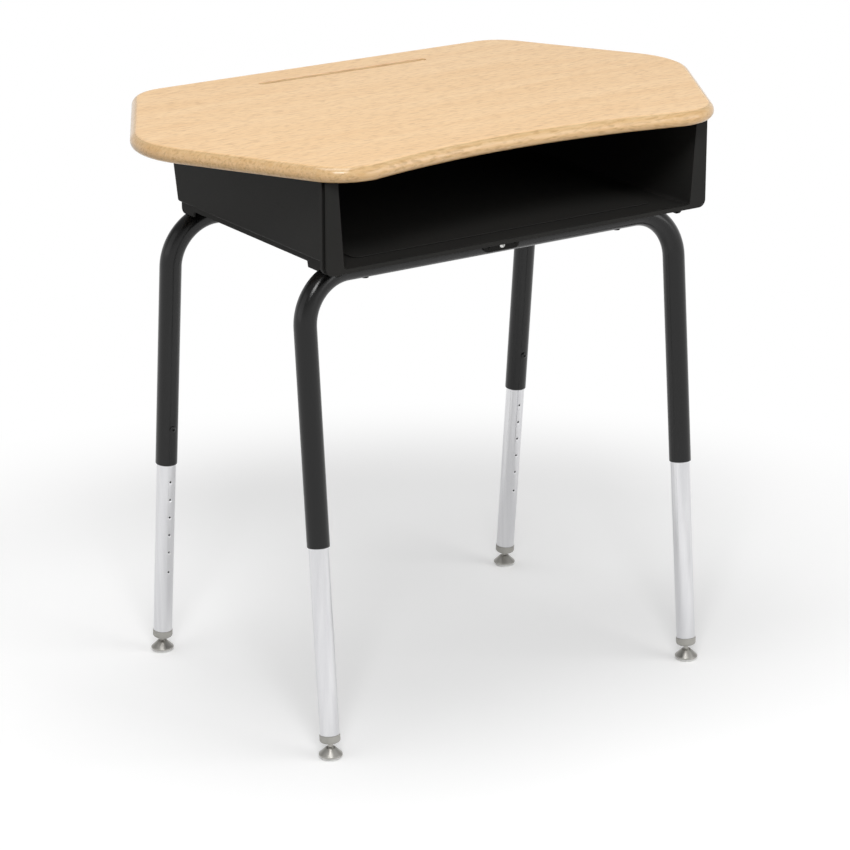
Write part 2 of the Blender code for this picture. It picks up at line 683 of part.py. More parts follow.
def build_cap(leg, axis, material):
    """An end cap: a shoulder under the insert, a plug inside it, and a blind bore for the stem."""
    radius = CAP_DIAMETER / 2
    shoulder = CAP_BOTTOM + CAP_HEIGHT
    plug = INSERT_RADIUS - INSERT_WALL - TOUCH_GAP
    bore = STEM_DIAMETER / 2 + TOUCH_GAP
    bore_end = BALL_ALONG_LEG + STEM_LENGTH + TOUCH_GAP
    plug_end = max(bore_end, shoulder) + CAP_END_WALL
    profile = [
        (0.0, plug_end),
        (plug, plug_end),
        (plug, shoulder),
        (radius, shoulder),
        (radius, CAP_BOTTOM + CAP_CHAMFER),
        (radius - CAP_CHAMFER, CAP_BOTTOM),
        (bore, CAP_BOTTOM),
        (bore, bore_end),
        (0.0, bore_end),
    ]
    return add_turned(f"end_cap_{leg}", profile, TURN_STEPS, axis, material)


def build_stem(leg, axis, material):
    """A glide stem: a pin with a ball on its lower end."""
    radius = STEM_DIAMETER / 2
    centre = Vector((0.0, BALL_ALONG_LEG))
    neck_angle = math.acos(radius / BALL_RADIUS)
    ball = arc(centre, BALL_RADIUS, neck_angle, -math.pi / 2, CORNER_SEGMENTS)
    profile = [(0.0, BALL_ALONG_LEG + STEM_LENGTH), (radius, BALL_ALONG_LEG + STEM_LENGTH)]
    profile += [(point.x, point.y) for point in ball[:-1]]
    profile.append((0.0, BALL_ALONG_LEG - BALL_RADIUS))
    return add_turned(f"glide_stem_{leg}", profile, SMALL_TURN_STEPS, axis, material)


def build_foot(leg, axis, steel, nylon):
    """The steel foot and its nylon pad, level with the floor, counted from the ball's centre."""
    rim = FOOT_DIAMETER / 2
    rim_low = FOOT_RIM_ABOVE_FLOOR - BALL_Z
    rim_high = rim_low + FOOT_RIM_HEIGHT
    recess = PAD_DIAMETER / 2 + TOUCH_GAP
    ceiling = PAD_THICKNESS + TOUCH_GAP - BALL_Z
    socket = BALL_RADIUS + TOUCH_GAP
    seat = SOCKET_SEAT_DIAMETER / 2
    lip_angle = math.asin(SOCKET_LIP_ABOVE_BALL / socket)
    seat_angle = -math.acos(seat / socket)
    cup = arc(Vector((0.0, 0.0)), socket, seat_angle, lip_angle, CUP_SEGMENTS)
    profile = [
        (FOOT_NECK_DIAMETER / 2, FOOT_NECK_ABOVE_BALL),
        (rim - FOOT_RIM_HEIGHT / 2, rim_high + FOOT_RIM_HEIGHT / 2),
        (rim, rim_high),
        (rim, rim_low + FOOT_RIM_HEIGHT / 3),
        (rim - FOOT_RIM_HEIGHT / 3, rim_low),
        (recess, rim_low),
        (recess, ceiling),
        (seat, ceiling),
        *[(point.x, point.y) for point in cup],
        (cup[-1].x + SOCKET_LIP_FLARE, FOOT_NECK_ABOVE_BALL),
    ]
    add_turned(f"glide_foot_{leg}", profile, TURN_STEPS, axis, steel)
    pad = PAD_DIAMETER / 2
    pad_top = PAD_THICKNESS - BALL_Z
    profile = [(0.0, pad_top), (pad, pad_top), (pad, -BALL_Z), (0.0, -BALL_Z)]
    add_turned(f"glide_pad_{leg}", profile, TURN_STEPS, axis, nylon)


def screw_profile(head_radius, head_height, shank_radius, tip):
    """A screw standing on Z: domed head from 0 upwards, shank from 0 down to the tip."""
    return [
        (0.0, head_height),
        (head_radius / 2, head_height * 0.85),
        (head_radius, head_height * 0.3),
        (head_radius, 0.0),
        (shank_radius, 0.0),
        (shank_radius, tip),
        (0.0, tip),
    ]


def build_lock_screw(leg, axis, material):
    """A lock screw on the inner face of the tube, backed off so that its tip clears the insert."""
    seat = TUBE_RADIUS + TOUCH_GAP
    tip = INSERT_RADIUS + LOCK_TIP_GAP - seat
    profile = screw_profile(
        LOCK_SCREW_HEAD_DIAMETER / 2, LOCK_SCREW_HEAD_HEIGHT, LOCK_SCREW_DIAMETER / 2, tip
    )
    screw = add_turned(f"lock_screw_{leg}", profile, SMALL_TURN_STEPS, axis, material)
    screw.location = (0.0, -seat, LOCK_HOLE)
    screw.rotation_euler = (math.pi / 2, 0.0, 0.0)


def build_frame_screw(leg, side, end, material):
    """A screw up through a tube into the thick floor of the box. Returns the hole it needs."""
    seat = RUN_Z - TUBE_RADIUS - TOUCH_GAP
    reach = FLOOR_TOP_Z - FRAME_SCREW_COVER - TOUCH_GAP - seat
    shank = FRAME_SCREW_DIAMETER / 2
    profile = screw_profile(
        FRAME_SCREW_HEAD_DIAMETER / 2, FRAME_SCREW_HEAD_HEIGHT, shank, -reach
    )
    screw = add_turned(f"frame_screw_{leg}", profile, SMALL_TURN_STEPS, None, material)
    hole = add_drill(
        f"frame_screw_hole_{leg}", shank + TOUCH_GAP, -reach - TOUCH_GAP, CUT_MARGIN
    )
    for obj in (screw, hole):
        obj.location = (side * FRAME_SCREW_HALF_SPACING, end * RUN_HALF_SPACING, seat)
        obj.rotation_euler = (math.pi, 0.0, 0.0)
    return hole


def build_tab_screw(material):
    """The screw through the centre tab into the front tube. Returns the hole it needs."""
    seat_y = -RUN_HALF_SPACING - TUBE_RADIUS - TOUCH_GAP - CENTRE_TAB_THICKNESS - TOUCH_GAP
    profile = screw_profile(
        TAB_SCREW_HEAD_DIAMETER / 2,
        TAB_SCREW_HEAD_HEIGHT,
        TAB_SCREW_DIAMETER / 2,
        -TAB_SCREW_LENGTH,
    )
    screw = add_turned("centre_tab_screw", profile, SMALL_TURN_STEPS, None, material)
    hole = add_drill(
        "tab_screw_hole",
        TAB_SCREW_DIAMETER / 2 + TOUCH_GAP,
        -TAB_SCREW_LENGTH - CUT_MARGIN,
        CUT_MARGIN,
    )
    for obj in (screw, hole):
        obj.location = (0.0, seat_y, RUN_Z)
        obj.rotation_euler = (math.pi / 2, 0.0, 0.0)
    return hole


def build_top_screws(material):
    """The wood screws up through the flange. Returns their holes in the flange and in the top."""
    side_x = BOX_HALF_WIDTH + FLANGE_WIDTH / 2
    back_y = BOX_BACK_Y + FLANGE_WIDTH / 2
    places = {}
    for word, side in (("left", -1), ("right", 1)):
        places[f"front_{word}"] = (side * side_x, TOP_SCREW_SIDE_YS[0])
        places[f"middle_{word}"] = (side * side_x, TOP_SCREW_SIDE_YS[1])
        places[f"back_{word}"] = (side * TOP_SCREW_BACK_HALF_SPACING, back_y)
    reach = TOP_UNDERSIDE_Z + TOP_SCREW_BITE - FLANGE_UNDERSIDE_Z + TOUCH_GAP
    profile = screw_profile(
        TOP_SCREW_HEAD_DIAMETER / 2, TOP_SCREW_HEAD_HEIGHT, TOP_SCREW_DIAMETER / 2, -reach
    )
    holes = []
    for word, (x, y) in places.items():
        screw = add_turned(f"top_screw_{word}", profile, SMALL_TURN_STEPS, None, material)
        hole = add_drill(
            f"top_screw_hole_{word}",
            TOP_SCREW_DIAMETER / 2 + TOUCH_GAP,
            -reach - PILOT_SPARE_DEPTH,
            CUT_MARGIN,
        )
        for obj in (screw, hole):
            obj.location = (x, y, FLANGE_UNDERSIDE_Z - TOUCH_GAP)
            obj.rotation_euler = (math.pi, 0.0, 0.0)
        holes.append(hole)
    return holes


def main():
    """Builds the whole desk."""
    clear_scene()
    maple = finish_material("maple_moulding", (0.86, 0.63, 0.38), 0.45, 0.0)
    box_plastic = finish_material("black_polypropylene", (0.020, 0.020, 0.020), 0.5, 0.0)
    black_paint = finish_material("black_powder_coat", (0.022, 0.022, 0.022), 0.35, 0.0)
    chrome = finish_material("chrome_plate", (0.80, 0.80, 0.81), 0.12, 1.0)
    grey_plastic = finish_material("grey_polyethylene", (0.35, 0.34, 0.32), 0.5, 0.0)
    nickel = finish_material("nickel_plate", (0.62, 0.60, 0.57), 0.25, 1.0)
    nylon = finish_material("white_nylon", (0.80, 0.80, 0.78), 0.45, 0.0)
    zinc = finish_material("zinc_plate", (0.70, 0.70, 0.70), 0.30, 1.0)

    axes = {
        "front": add_empty("front_frame_axis", (0.0, -FOOT_Y, 0.0), (SPLAY, 0.0, math.pi)),
        "rear": add_empty("rear_frame_axis", (0.0, FOOT_Y, 0.0), (SPLAY, 0.0, 0.0)),
    }
    screw_holes = {"front": [], "rear": []}
    for leg, (side, end) in LEGS.items():
        hole = build_frame_screw(leg, side, end, black_paint)
        screw_holes["front" if end < 0 else "rear"].append(hole)
    tab_hole = build_tab_screw(zinc)
    top_holes = build_top_screws(zinc)
    saddle_radius = TUBE_RADIUS + SADDLE_CLEARANCE
    saddles = [
        add_object(f"{place}_saddle", frame_bar("saddle", saddle_radius, 0.0), axis)
        for place, axis in axes.items()
    ]
    build_frame("front", axes["front"], black_paint, [*screw_holes["front"], tab_hole])
    build_frame("rear", axes["rear"], black_paint, screw_holes["rear"])
    box_holes = [*screw_holes["front"], *screw_holes["rear"], tab_hole, *top_holes]
    build_box(box_plastic, saddles, box_holes)
    top = build_top(maple)
    for hole in top_holes:
        combine(top, hole, "DIFFERENCE")

    for leg, (side, end) in LEGS.items():
        frame_axis = axes["front" if end < 0 else "rear"]
        # The front frame is turned round, so its own X runs the other way.
        leg_place = (side * end * LEG_HALF_SPACING, 0.0, 0.0)
        leg_axis = add_empty(f"{leg}_axis", leg_place, (0, 0, 0), frame_axis)
        ball = (side * LEG_HALF_SPACING, end * BALL_Y, BALL_Z)
        build_insert(leg, leg_axis, chrome)
        build_cap(leg, leg_axis, grey_plastic)
        build_stem(leg, leg_axis, nickel)
        build_lock_screw(leg, leg_axis, black_paint)
        build_foot(leg, add_empty(f"{leg}_ball", ball, (0, 0, 0)), nickel, nylon)
    bpy.context.view_layer.update()


main()
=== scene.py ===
"""Looks of the study desk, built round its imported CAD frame.

Every CAD node is replaced by a finer piece in the same place: the moulded top with its groove, the
book box, the two bent tubes, and for each leg the insert, cap, stem, foot, pad and lock screw.

Metres, +Z up, the origin on the floor under the middle of the desk, -Y towards the person at it.
"""

from __future__ import annotations

import logging
import math
from collections.abc import Callable, Mapping, Sequence
from dataclasses import dataclass, field
from enum import Enum
from functools import partial
from typing import Any

import bmesh
import bpy
from bmesh.types import BMEdge, BMesh, BMVert
from bpy.types import Material, Node, NodeSocket, NodeTree, Object, World
from mathutils import Matrix, Vector

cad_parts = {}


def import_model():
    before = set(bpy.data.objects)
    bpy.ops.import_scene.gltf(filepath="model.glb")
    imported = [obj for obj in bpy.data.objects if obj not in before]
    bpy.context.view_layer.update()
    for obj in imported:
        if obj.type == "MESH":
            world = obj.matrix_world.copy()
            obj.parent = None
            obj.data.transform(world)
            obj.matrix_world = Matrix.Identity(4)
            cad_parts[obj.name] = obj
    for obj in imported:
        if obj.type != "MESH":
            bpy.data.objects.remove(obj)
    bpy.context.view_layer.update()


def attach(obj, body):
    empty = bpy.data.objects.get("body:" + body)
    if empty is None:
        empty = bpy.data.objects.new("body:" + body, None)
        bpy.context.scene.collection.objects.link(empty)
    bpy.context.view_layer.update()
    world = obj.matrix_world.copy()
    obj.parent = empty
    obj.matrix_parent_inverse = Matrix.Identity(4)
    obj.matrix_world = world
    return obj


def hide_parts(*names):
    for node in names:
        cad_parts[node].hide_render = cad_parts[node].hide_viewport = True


LOG = logging.getLogger("study_desk")
MM = 0.001
# Points closer than this are one point.
MERGE = 1e-6
# Shapes that are joined or cut reach this far into or past each other.
MARGIN = 0.002
# Turns that lay a shape's own Z along -Y, and point it down.
LAID = Matrix.Rotation(math.pi / 2, 4, "X")
UPENDED = Matrix.Rotation(math.pi, 4, "X")


class Corner(Enum):
    """A leg of the desk, as (side along X, end along Y)."""

    FRONT_LEFT = (-1, -1)
    FRONT_RIGHT = (1, -1)
    REAR_LEFT = (-1, 1)
    REAR_RIGHT = (1, 1)

    def __init__(self, side: int, end: int) -> None:
        """Keeps the side, -1 on the left, and the end, -1 in front."""
        self.side = side
        self.end = end

    @property
    def word(self) -> str:
        """The leg's name in the CAD nodes."""
        return self.name.lower()


class Boolean(Enum):
    """What a tool does to the piece that it meets."""

    CUT = "DIFFERENCE"
    JOIN = "UNION"


def linear(code: str) -> tuple[float, float, float, float]:
    """Turns an sRGB hex colour into linear light.

    Args:
        code: the colour as "#RRGGBB".

    Returns:
        Red, green, blue and an alpha of 1.
    """
    shares = [int(code[start : start + 2], 16) / 255 for start in (1, 3, 5)]
    red, green, blue = (s / 12.92 if s <= 0.04045 else ((s + 0.055) / 1.055) ** 2.4 for s in shares)
    return red, green, blue, 1.0


def add_node(
    tree: NodeTree,
    kind: str,
    values: Mapping[str | int, Any] | None = None,
    links: Mapping[str | int, NodeSocket | Node] | None = None,
    **settings: Any,
) -> Node:
    """Adds a node with its settings and links.

    Args:
        tree: the node tree it goes into.
        kind: Blender's name for the kind of node, after ShaderNode.
        values: input sockets and the constants they hold.
        links: input sockets and the outputs they are joined to; a node gives its first in use.
        settings: the node's own properties.

    Returns:
        The node.
    """
    node = tree.nodes.new(f"ShaderNode{kind}")
    for name, value in settings.items():
        setattr(node, name, value)
    for socket, value in (values or {}).items():
        node.inputs[socket].default_value = value
    for socket, source in (links or {}).items():
        if isinstance(source, Node):
            source = next(output for output in source.outputs if output.enabled)
        tree.links.new(source, node.inputs[socket])
    return node


def empty_tree(owner: Material | World) -> NodeTree:
    """Turns an owner's nodes on, and returns its tree with nothing in it."""
    owner.use_nodes = True
    owner.node_tree.nodes.clear()
    return owner.node_tree


@dataclass(frozen=True)
class Finish:
    """A material with its name; each kind of finish says how it is painted."""

    name: str

    def material(self) -> Material:
        """The Blender material, made the first time it is asked for."""
        found = bpy.data.materials.get(self.name)
        if found is not None:
            return found
        material = bpy.data.materials.new(self.name)
        tree = empty_tree(material)
        coords = add_node(tree, "TexCoord").outputs["Object"]
        add_node(tree, "OutputMaterial", links={"Surface": self.paint(tree, coords)})
        return material

    def paint(self, tree: NodeTree, coords: NodeSocket) -> Node:
        """Makes the shader.

        Args:
            tree: the material's nodes.
            coords: the Object coordinates, in metres.

        Returns:
            The Principled node.
        """
        raise NotImplementedError


@dataclass(frozen=True)
class Grain:
    """A noise stretched along X: its cells in millimetres, and how it is drawn."""

    along_mm: float
    across_mm: float
    detail: float
    roughness: float
    distortion: float


@dataclass(frozen=True)
class MapleMoulding(Finish):
    """Pressed wood composite under a melamine face printed with maple.

    Pale honey ground with fine fibres along X, short darker flecks and broad, faint figure. The
    flecks are drawn a few times coarser than life, or the low view would blur them away. The face
    rolls over the edge, where it is stretched smooth and shines more, and the underside is the bare
    composite.
    """

    pale: str
    dark: str
    fleck: str
    edge_shade_tints: tuple[str, str]
    groove_shade_tint: str
    backing: str
    top_z: float
    underside_z: float
    groove_y: float
    groove_half: tuple[float, float]
    edge_mm: tuple[float, float] = (0.2, 9.0)
    groove_mm: tuple[float, float] = (0.1, 0.8)
    fibres: Grain = Grain(34.0, 2.2, detail=3.0, roughness=0.62, distortion=0.3)
    figure: Grain = Grain(420.0, 26.0, detail=4.0, roughness=0.55, distortion=0.6)
    flecks: Grain = Grain(15.0, 3.2, detail=2.0, roughness=0.5, distortion=0.4)

    def paint(self, tree: NodeTree, coords: NodeSocket) -> Node:
        """Makes the shader with fibres, figure, flecks, the edge and the groove."""
        add = partial(add_node, tree)
        noises = []
        for grain in (self.fibres, self.figure, self.flecks):
            across = 1 / (grain.across_mm * MM)
            scale = (1 / (grain.along_mm * MM), across, across)
            cells = add("Mapping", {"Scale": scale}, {"Vector": coords})
            drawn = {"Detail": grain.detail, "Roughness": grain.roughness}
            drawn |= {"Scale": 1.0, "Distortion": grain.distortion}
            noises.append(add("TexNoise", drawn, {"Vector": cells}))
        fibre, figure, fleck = noises
        shade = add("Mix", {"Factor": 0.45}, {"A": fibre, "B": figure})
        ground = add("ValToRGB", links={"Fac": shade})
        stops = zip(ground.color_ramp.elements, (0.36, 0.64), (self.dark, self.pale))
        for stop, place, code in stops:
            stop.position, stop.color = place, linear(code)
        # Short brown flecks: only the peaks of a noise show.
        peaks = {"From Min": 0.48, "From Max": 0.72, "To Max": 0.45}
        fleck_share = add("MapRange", peaks, {"Value": fleck})
        brown = {"B": linear(self.fleck)}
        flecked = add("Mix", brown, {"Factor": fleck_share, "A": ground}, data_type="RGBA")
        # How far round the edge a point lies, and how far down the groove.
        height = add("SeparateXYZ", links={"Vector": coords}).outputs["Z"]
        edge_share, groove_share = (
            add(
                "MapRange",
                {"From Min": self.top_z - start * MM, "From Max": self.top_z - end * MM},
                {"Value": height},
            )
            for start, end in (self.edge_mm, self.groove_mm)
        )
        # Painted shade on the edge: a greyer band just where the face turns over it, and a faint
        # warm tint further down.
        edge_shade = add("ValToRGB", links={"Fac": edge_share})
        shade_stops = edge_shade.color_ramp.elements
        shade_stops[0].color = (1.0, 1.0, 1.0, 1.0)
        shade_stops[1].color = linear(self.edge_shade_tints[1])
        shade_stops.new(0.1).color = linear(self.edge_shade_tints[0])
        # The pencil groove gets painted shade: a grey tint over the face's colour, at full strength
        # from 0.8 mm below the top downwards.
        middle = (0.0, self.groove_y, 0.0)
        offset = add("VectorMath", {1: middle}, {0: coords}, operation="SUBTRACT")
        away = add("VectorMath", links={0: offset}, operation="ABSOLUTE")
        distances = add("SeparateXYZ", links={"Vector": away}).outputs
        outside = {
            axis: add("Math", {1: half}, {0: distances[axis]}, operation="GREATER_THAN")
            for axis, half in enumerate(self.groove_half)
        }
        clear = add("Math", links=outside, operation="MAXIMUM")
        pressed = {"A": linear(self.groove_shade_tint)}
        painted_shade = add("Mix", pressed, {"Factor": clear, "B": edge_shade}, data_type="RGBA")
        painted_shade_share = add("Mix", {"B": 1.0}, {"Factor": clear, "A": groove_share})
        # The painted shade of the edge and of the groove is multiplied over the face's colour.
        with_painted_shade = add(
            "Mix",
            links={"Factor": painted_shade_share, "A": flecked, "B": painted_shade},
            data_type="RGBA",
            blend_type="MULTIPLY",
        )
        under = add("Math", {1: self.underside_z}, {0: height}, operation="LESS_THAN")
        bare = {"B": linear(self.backing)}
        backed = add("Mix", bare, {"Factor": under, "A": with_painted_shade}, data_type="RGBA")
        # The face is satin; over the edge the sheet is stretched smooth and shines more.
        satin = {"From Min": 0.3, "From Max": 0.7, "To Min": 0.32, "To Max": 0.40}
        gloss = add("MapRange", satin, {"Value": fibre})
        shiny = {"From Max": 0.15, "To Min": 1.0, "To Max": 0.45}
        edge_gloss = add("MapRange", shiny, {"Value": edge_share})
        roughness = add("Math", links={0: gloss, 1: edge_gloss}, operation="MULTIPLY")
        relief = add("Bump", {"Strength": 0.12, "Distance": 0.05 * MM}, {"Height": fibre})
        links = {"Base Color": backed, "Roughness": roughness, "Normal": relief}
        return add("BsdfPrincipled", {"IOR": 1.5}, links)


@dataclass(frozen=True)
class GrainedFinish(Finish):
    """A plain finish with a small grain: two near colours, a grain in its gloss and in its relief.

    The grain is given in millimetres. Real spark-eroded and sprayed grain is under half a
    millimetre, so it is drawn coarser than life where it has to show in the render.
    """

    colours: tuple[str, str]
    roughness: tuple[float, float]
    grain_mm: float
    relief_mm: float = 0.02
    relief_strength: float = 0.2
    metallic: float = 0.0
    ior: float = 1.5
    shine: float = 0.5
    stretch: tuple[float, float, float] = (1.0, 1.0, 1.0)
    cloud_and_painted_streak_mm: float = 83.0

    def paint(self, tree: NodeTree, coords: NodeSocket) -> Node:
        """Makes the shader with the cloud in colour and the grain in gloss and relief."""
        add = partial(add_node, tree)
        drawn = add("Mapping", {"Scale": self.stretch}, {"Vector": coords})
        # Handling and moulding leave a cloudiness about a hand across. Where the cloud is stretched
        # along the leg, as on the chrome, its light and dark streaks are painted reflection.
        grain, cloud_and_painted_streaks = (
            add("TexNoise", {"Scale": 1 / (cell * MM), "Detail": 2.0}, {"Vector": drawn})
            for cell in (self.grain_mm, self.cloud_and_painted_streak_mm)
        )
        # The two colours follow the cloud; on the chrome their streaks are painted reflection.
        first, second = (linear(code) for code in self.colours)
        mixed = add("Mix", {"A": first, "B": second}, {"Factor": cloud_and_painted_streaks}, data_type="RGBA")
        smooth, rough = self.roughness
        spread = {"From Min": 0.35, "From Max": 0.65, "To Min": smooth, "To Max": rough}
        gloss = add("MapRange", spread, {"Value": grain})
        depth = {"Strength": self.relief_strength, "Distance": self.relief_mm * MM}
        relief = add("Bump", depth, {"Height": grain})
        values = {"Metallic": self.metallic}
        if not self.metallic:
            values |= {"IOR": self.ior, "Specular IOR Level": self.shine}
        links = {"Base Color": mixed, "Roughness": gloss, "Normal": relief}
        return add("BsdfPrincipled", values, links)


# Pressed composite, melamine faced: pale honey, satin, lines of fibre along the desk.
MAPLE = MapleMoulding(
    "maple_melamine",
    pale="#FFDBAB",
    dark="#F4C890",
    fleck="#C08F56",
    edge_shade_tints=("#DDDDDA", "#FFFAEF"),
    groove_shade_tint="#D3D2CC",
    backing="#6B5D4C",
    top_z=0.7585,
    underside_z=0.7398,
    groove_y=0.18545,
    groove_half=(0.135, 0.008),
)
# Injection-moulded polypropylene, spark-eroded mould: soft charcoal, broad dull shine. The pits of
# the grain swallow more than half of the mirror reflection, which the lower shine stands for.
BOX_PLASTIC = GrainedFinish(
    "black_polypropylene",
    ("#2E2E2D", "#32312F"),
    roughness=(0.50, 0.60),
    grain_mm=1.1,
    relief_mm=0.03,
    relief_strength=0.25,
    shine=0.08,
)
# Powder-coated steel: black with an even shine and a slight orange peel.
POWDER_COAT = GrainedFinish(
    "black_powder_coat",
    ("#101010", "#131313"),
    roughness=(0.20, 0.24),
    grain_mm=2.5,
    relief_mm=0.01,
    relief_strength=0.04,
    shine=0.4,
)
# Chrome plate on drawn tube: bright, with faint drawing lines along the leg in its gloss and
# painted reflection streaks along the leg in its colour.
CHROME = GrainedFinish(
    "chrome_plate",
    ("#E8E8E9", "#CBCBCE"),
    roughness=(0.10, 0.16),
    grain_mm=0.8,
    relief_mm=0.004,
    relief_strength=0.08,
    metallic=1.0,
    stretch=(1.0, 1.0, 0.03),
    cloud_and_painted_streak_mm=8.0,
)
# Injection-moulded polyethylene: warm grey, waxy.
CAP_PLASTIC = GrainedFinish(
    "grey_polyethylene",
    ("#B3B1AB", "#ABA9A3"),
    roughness=(0.40, 0.50),
    grain_mm=1.0,
    relief_strength=0.15,
)
# Nickel plate on pressed steel: warm bright grey with a soft blur.
NICKEL = GrainedFinish(
    "nickel_plate",
    ("#B4B2AD", "#A9A7A2"),
    roughness=(0.32, 0.40),
    grain_mm=0.7,
    relief_mm=0.006,
    relief_strength=0.12,
    metallic=1.0,
)
# Moulded nylon: milky white, slightly glossy.
NYLON = GrainedFinish(
    "white_nylon",
    ("#EFEFEA", "#E8E8E3"),
    roughness=(0.35, 0.45),
    grain_mm=0.9,
    relief_mm=0.01,
    relief_strength=0.10,
    ior=1.53,
)
# Bright zinc plate on screws: pale and mirror-like, a little cloudy.
ZINC = GrainedFinish(
    "zinc_plate",
    ("#D9D9D7", "#CFCFCC"),
    roughness=(0.16, 0.24),
    grain_mm=0.5,
    relief_mm=0.004,
    relief_strength=0.1,
    metallic=1.0,
)


def placed(bm: BMesh, place: Matrix) -> BMesh:
    """Moves a whole shape, and returns it."""
    bmesh.ops.transform(bm, matrix=place, verts=bm.verts)
    return bm


def block(low: Sequence[float], high: Sequence[float]) -> BMesh:
    """A box between its lowest and its highest corner."""
    start, end = Vector(low), Vector(high)
    bm = bmesh.new()
    bmesh.ops.create_cube(bm, size=1.0)
    bmesh.ops.scale(bm, vec=end - start, verts=bm.verts)
    bmesh.ops.translate(bm, vec=(start + end) / 2, verts=bm.verts)
    return bm


def bevel(
    bm: BMesh, geom: Sequence[BMVert | BMEdge], radius: float, segments: int, affect: str
) -> None:
    """Rounds edges, or the corners of a drawn line; affect is EDGES or VERTICES."""
    bmesh.ops.bevel(
        bm,
        geom=geom,
        offset=radius,
        offset_type="OFFSET",
        segments=segments,
        profile=0.5,
        affect=affect,
        material=-1,
    )


def round_edges(
    bm: BMesh, wanted: Callable[[Vector, Vector], bool], radius: float, segments: int
) -> None:
    """Rounds some edges.

    Args:
        bm: the mesh.
        wanted: says whether an edge with this middle and direction is rounded.
        radius: how far the rounding reaches from the edge.
        segments: steps across the rounding.
    """
    edges = []
    for edge in bm.edges:
        start, end = edge.verts[0].co, edge.verts[1].co
        if wanted((start + end) / 2, (end - start).normalized()):
            edges.append(edge)
    bevel(bm, edges, radius, segments, affect="EDGES")


def turned(profile: Sequence[tuple[float, ...]], steps: int) -> BMesh:
    """A shape turned round Z.

    Args:
        profile: (radius, height) points, or (radius, height, rounding) where the corner is rounded.
            A profile that keeps clear of the axis is closed into a ring.
        steps: facets round the axis.

    Returns:
        The closed shape as a bmesh.
    """
    bm = bmesh.new()
    verts = [bm.verts.new((point[0], 0.0, point[1])) for point in profile]
    for start, end in zip(verts, verts[1:]):
        bm.edges.new((start, end))
    if min(point[0] for point in profile) > 0:
        bm.edges.new((verts[-1], verts[0]))
    for vert, point in zip(verts, profile):
        if len(point) > 2:
            bevel(bm, [vert], point[2], segments=4, affect="VERTICES")
    bmesh.ops.spin(
        bm,
        geom=bm.verts[:] + bm.edges[:],
        cent=(0, 0, 0),
        axis=(0, 0, 1),
        angle=2 * math.pi,
        steps=steps,
        use_merge=True,
    )
    bmesh.ops.remove_doubles(bm, verts=bm.verts, dist=MERGE)
    bmesh.ops.recalc_face_normals(bm, faces=bm.faces)
    return bm


def swing(bm: BMesh, vert: BMVert, centre: Vector, angle: float, steps: int) -> BMVert:
    """Draws an arc in plan from a vertex.

    Args:
        bm: the mesh.
        vert: where the arc starts.
        centre: the arc's centre.
        angle: how far it turns, counter-clockwise.
        steps: straight steps in the arc.

    Returns:
        The vertex at the arc's end.
    """
    made = bmesh.ops.spin(
        bm,
        geom=[vert],
        cent=(centre.x, centre.y, 0.0),
        axis=(0, 0, 1),
        angle=angle,
        steps=steps,
        use_merge=False,
    )
    return next(item for item in made["geom_last"] if isinstance(item, BMVert))


def line_to(bm: BMesh, vert: BMVert, point: Vector) -> BMVert:
    """Draws a straight edge in plan from a vertex to a point, and returns the vertex there."""
    end = bm.verts.new((point.x, point.y, 0.0))
    bm.edges.new((vert, end))
    return end


def add_mesh(bm: BMesh, name: str) -> Object:
    """Links a bmesh, which is freed, as an object of that name at the origin."""
    bmesh.ops.recalc_face_normals(bm, faces=bm.faces)
    mesh = bpy.data.meshes.new(name)
    bm.to_mesh(mesh)
    bm.free()
    obj = bpy.data.objects.new(name, mesh)
    bpy.context.scene.collection.objects.link(obj)
    return obj


def combined(bm: BMesh, tools: Sequence[tuple[BMesh, Boolean]]) -> BMesh:
    """Joins shapes on and cuts shapes out, in order.

    Args:
        bm: the shape worked on, which is freed.
        tools: the other shapes and what each does; they are freed.

    Returns:
        The result as a bmesh.
    """
    body = add_mesh(bm, "worked_shape")
    helpers = []
    for tool, action in tools:
        helper = add_mesh(tool, "tool_shape")
        modifier = body.modifiers.new(action.name, "BOOLEAN")
        modifier.operation = action.value
        modifier.solver = "EXACT"
        modifier.object = helper
        helpers.append(helper)
    graph = bpy.context.evaluated_depsgraph_get()
    made = bmesh.new()
    made.from_mesh(body.evaluated_get(graph).to_mesh())
    for obj in (body, *helpers):
        mesh = obj.data
        bpy.data.objects.remove(obj)
        bpy.data.meshes.remove(mesh)
    bmesh.ops.remove_doubles(made, verts=made.verts, dist=MERGE)
    bmesh.ops.dissolve_degenerate(made, edges=made.edges, dist=MERGE)
    return made


def cut(bm: BMesh, tools: Sequence[BMesh]) -> BMesh:
    """Cuts shapes out of a shape; all of them are freed."""
    return combined(bm, [(tool, Boolean.CUT) for tool in tools])


def drill(radius: float, low: float, high: float, place: Matrix) -> BMesh:
    """A round tool along its own Z from low to high, put in place."""
    outline = [(0.0, high), (radius, high), (radius, low), (0.0, low)]
    return placed(turned(outline, steps=32), place)


@dataclass(frozen=True)
class Standing:
    """What a piece stands for: the CAD node, the body that it rides on and its finish."""

    node: str
    body: str
    slot: str
    finish: Finish

    def add(self, bm: BMesh, sharp_deg: float = 35.0) -> Object:
        """Turns a bmesh into the piece that replaces the node.

        Args:
            bm: the piece's mesh in its place, which is freed.
            sharp_deg: edges that turn more than this stay sharp.

        Returns:
            The piece.
        """
        piece = add_mesh(bm, f"{self.node}_fine")
        piece.data.shade_smooth()
        piece.data.set_sharp_from_angle(angle=math.radians(sharp_deg))
        piece.data.materials.append(self.finish.material())
        # Wide flat faces keep their own direction, so that roundings beside them don't shade them.
        normals = piece.modifiers.new("flat_faces", "WEIGHTED_NORMAL")
        normals.keep_sharp = True
        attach(piece, self.body)
        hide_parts(self.node)
        LOG.info("%s: %d faces, rides on %s", piece.name, len(piece.data.polygons), self.body)
        return piece


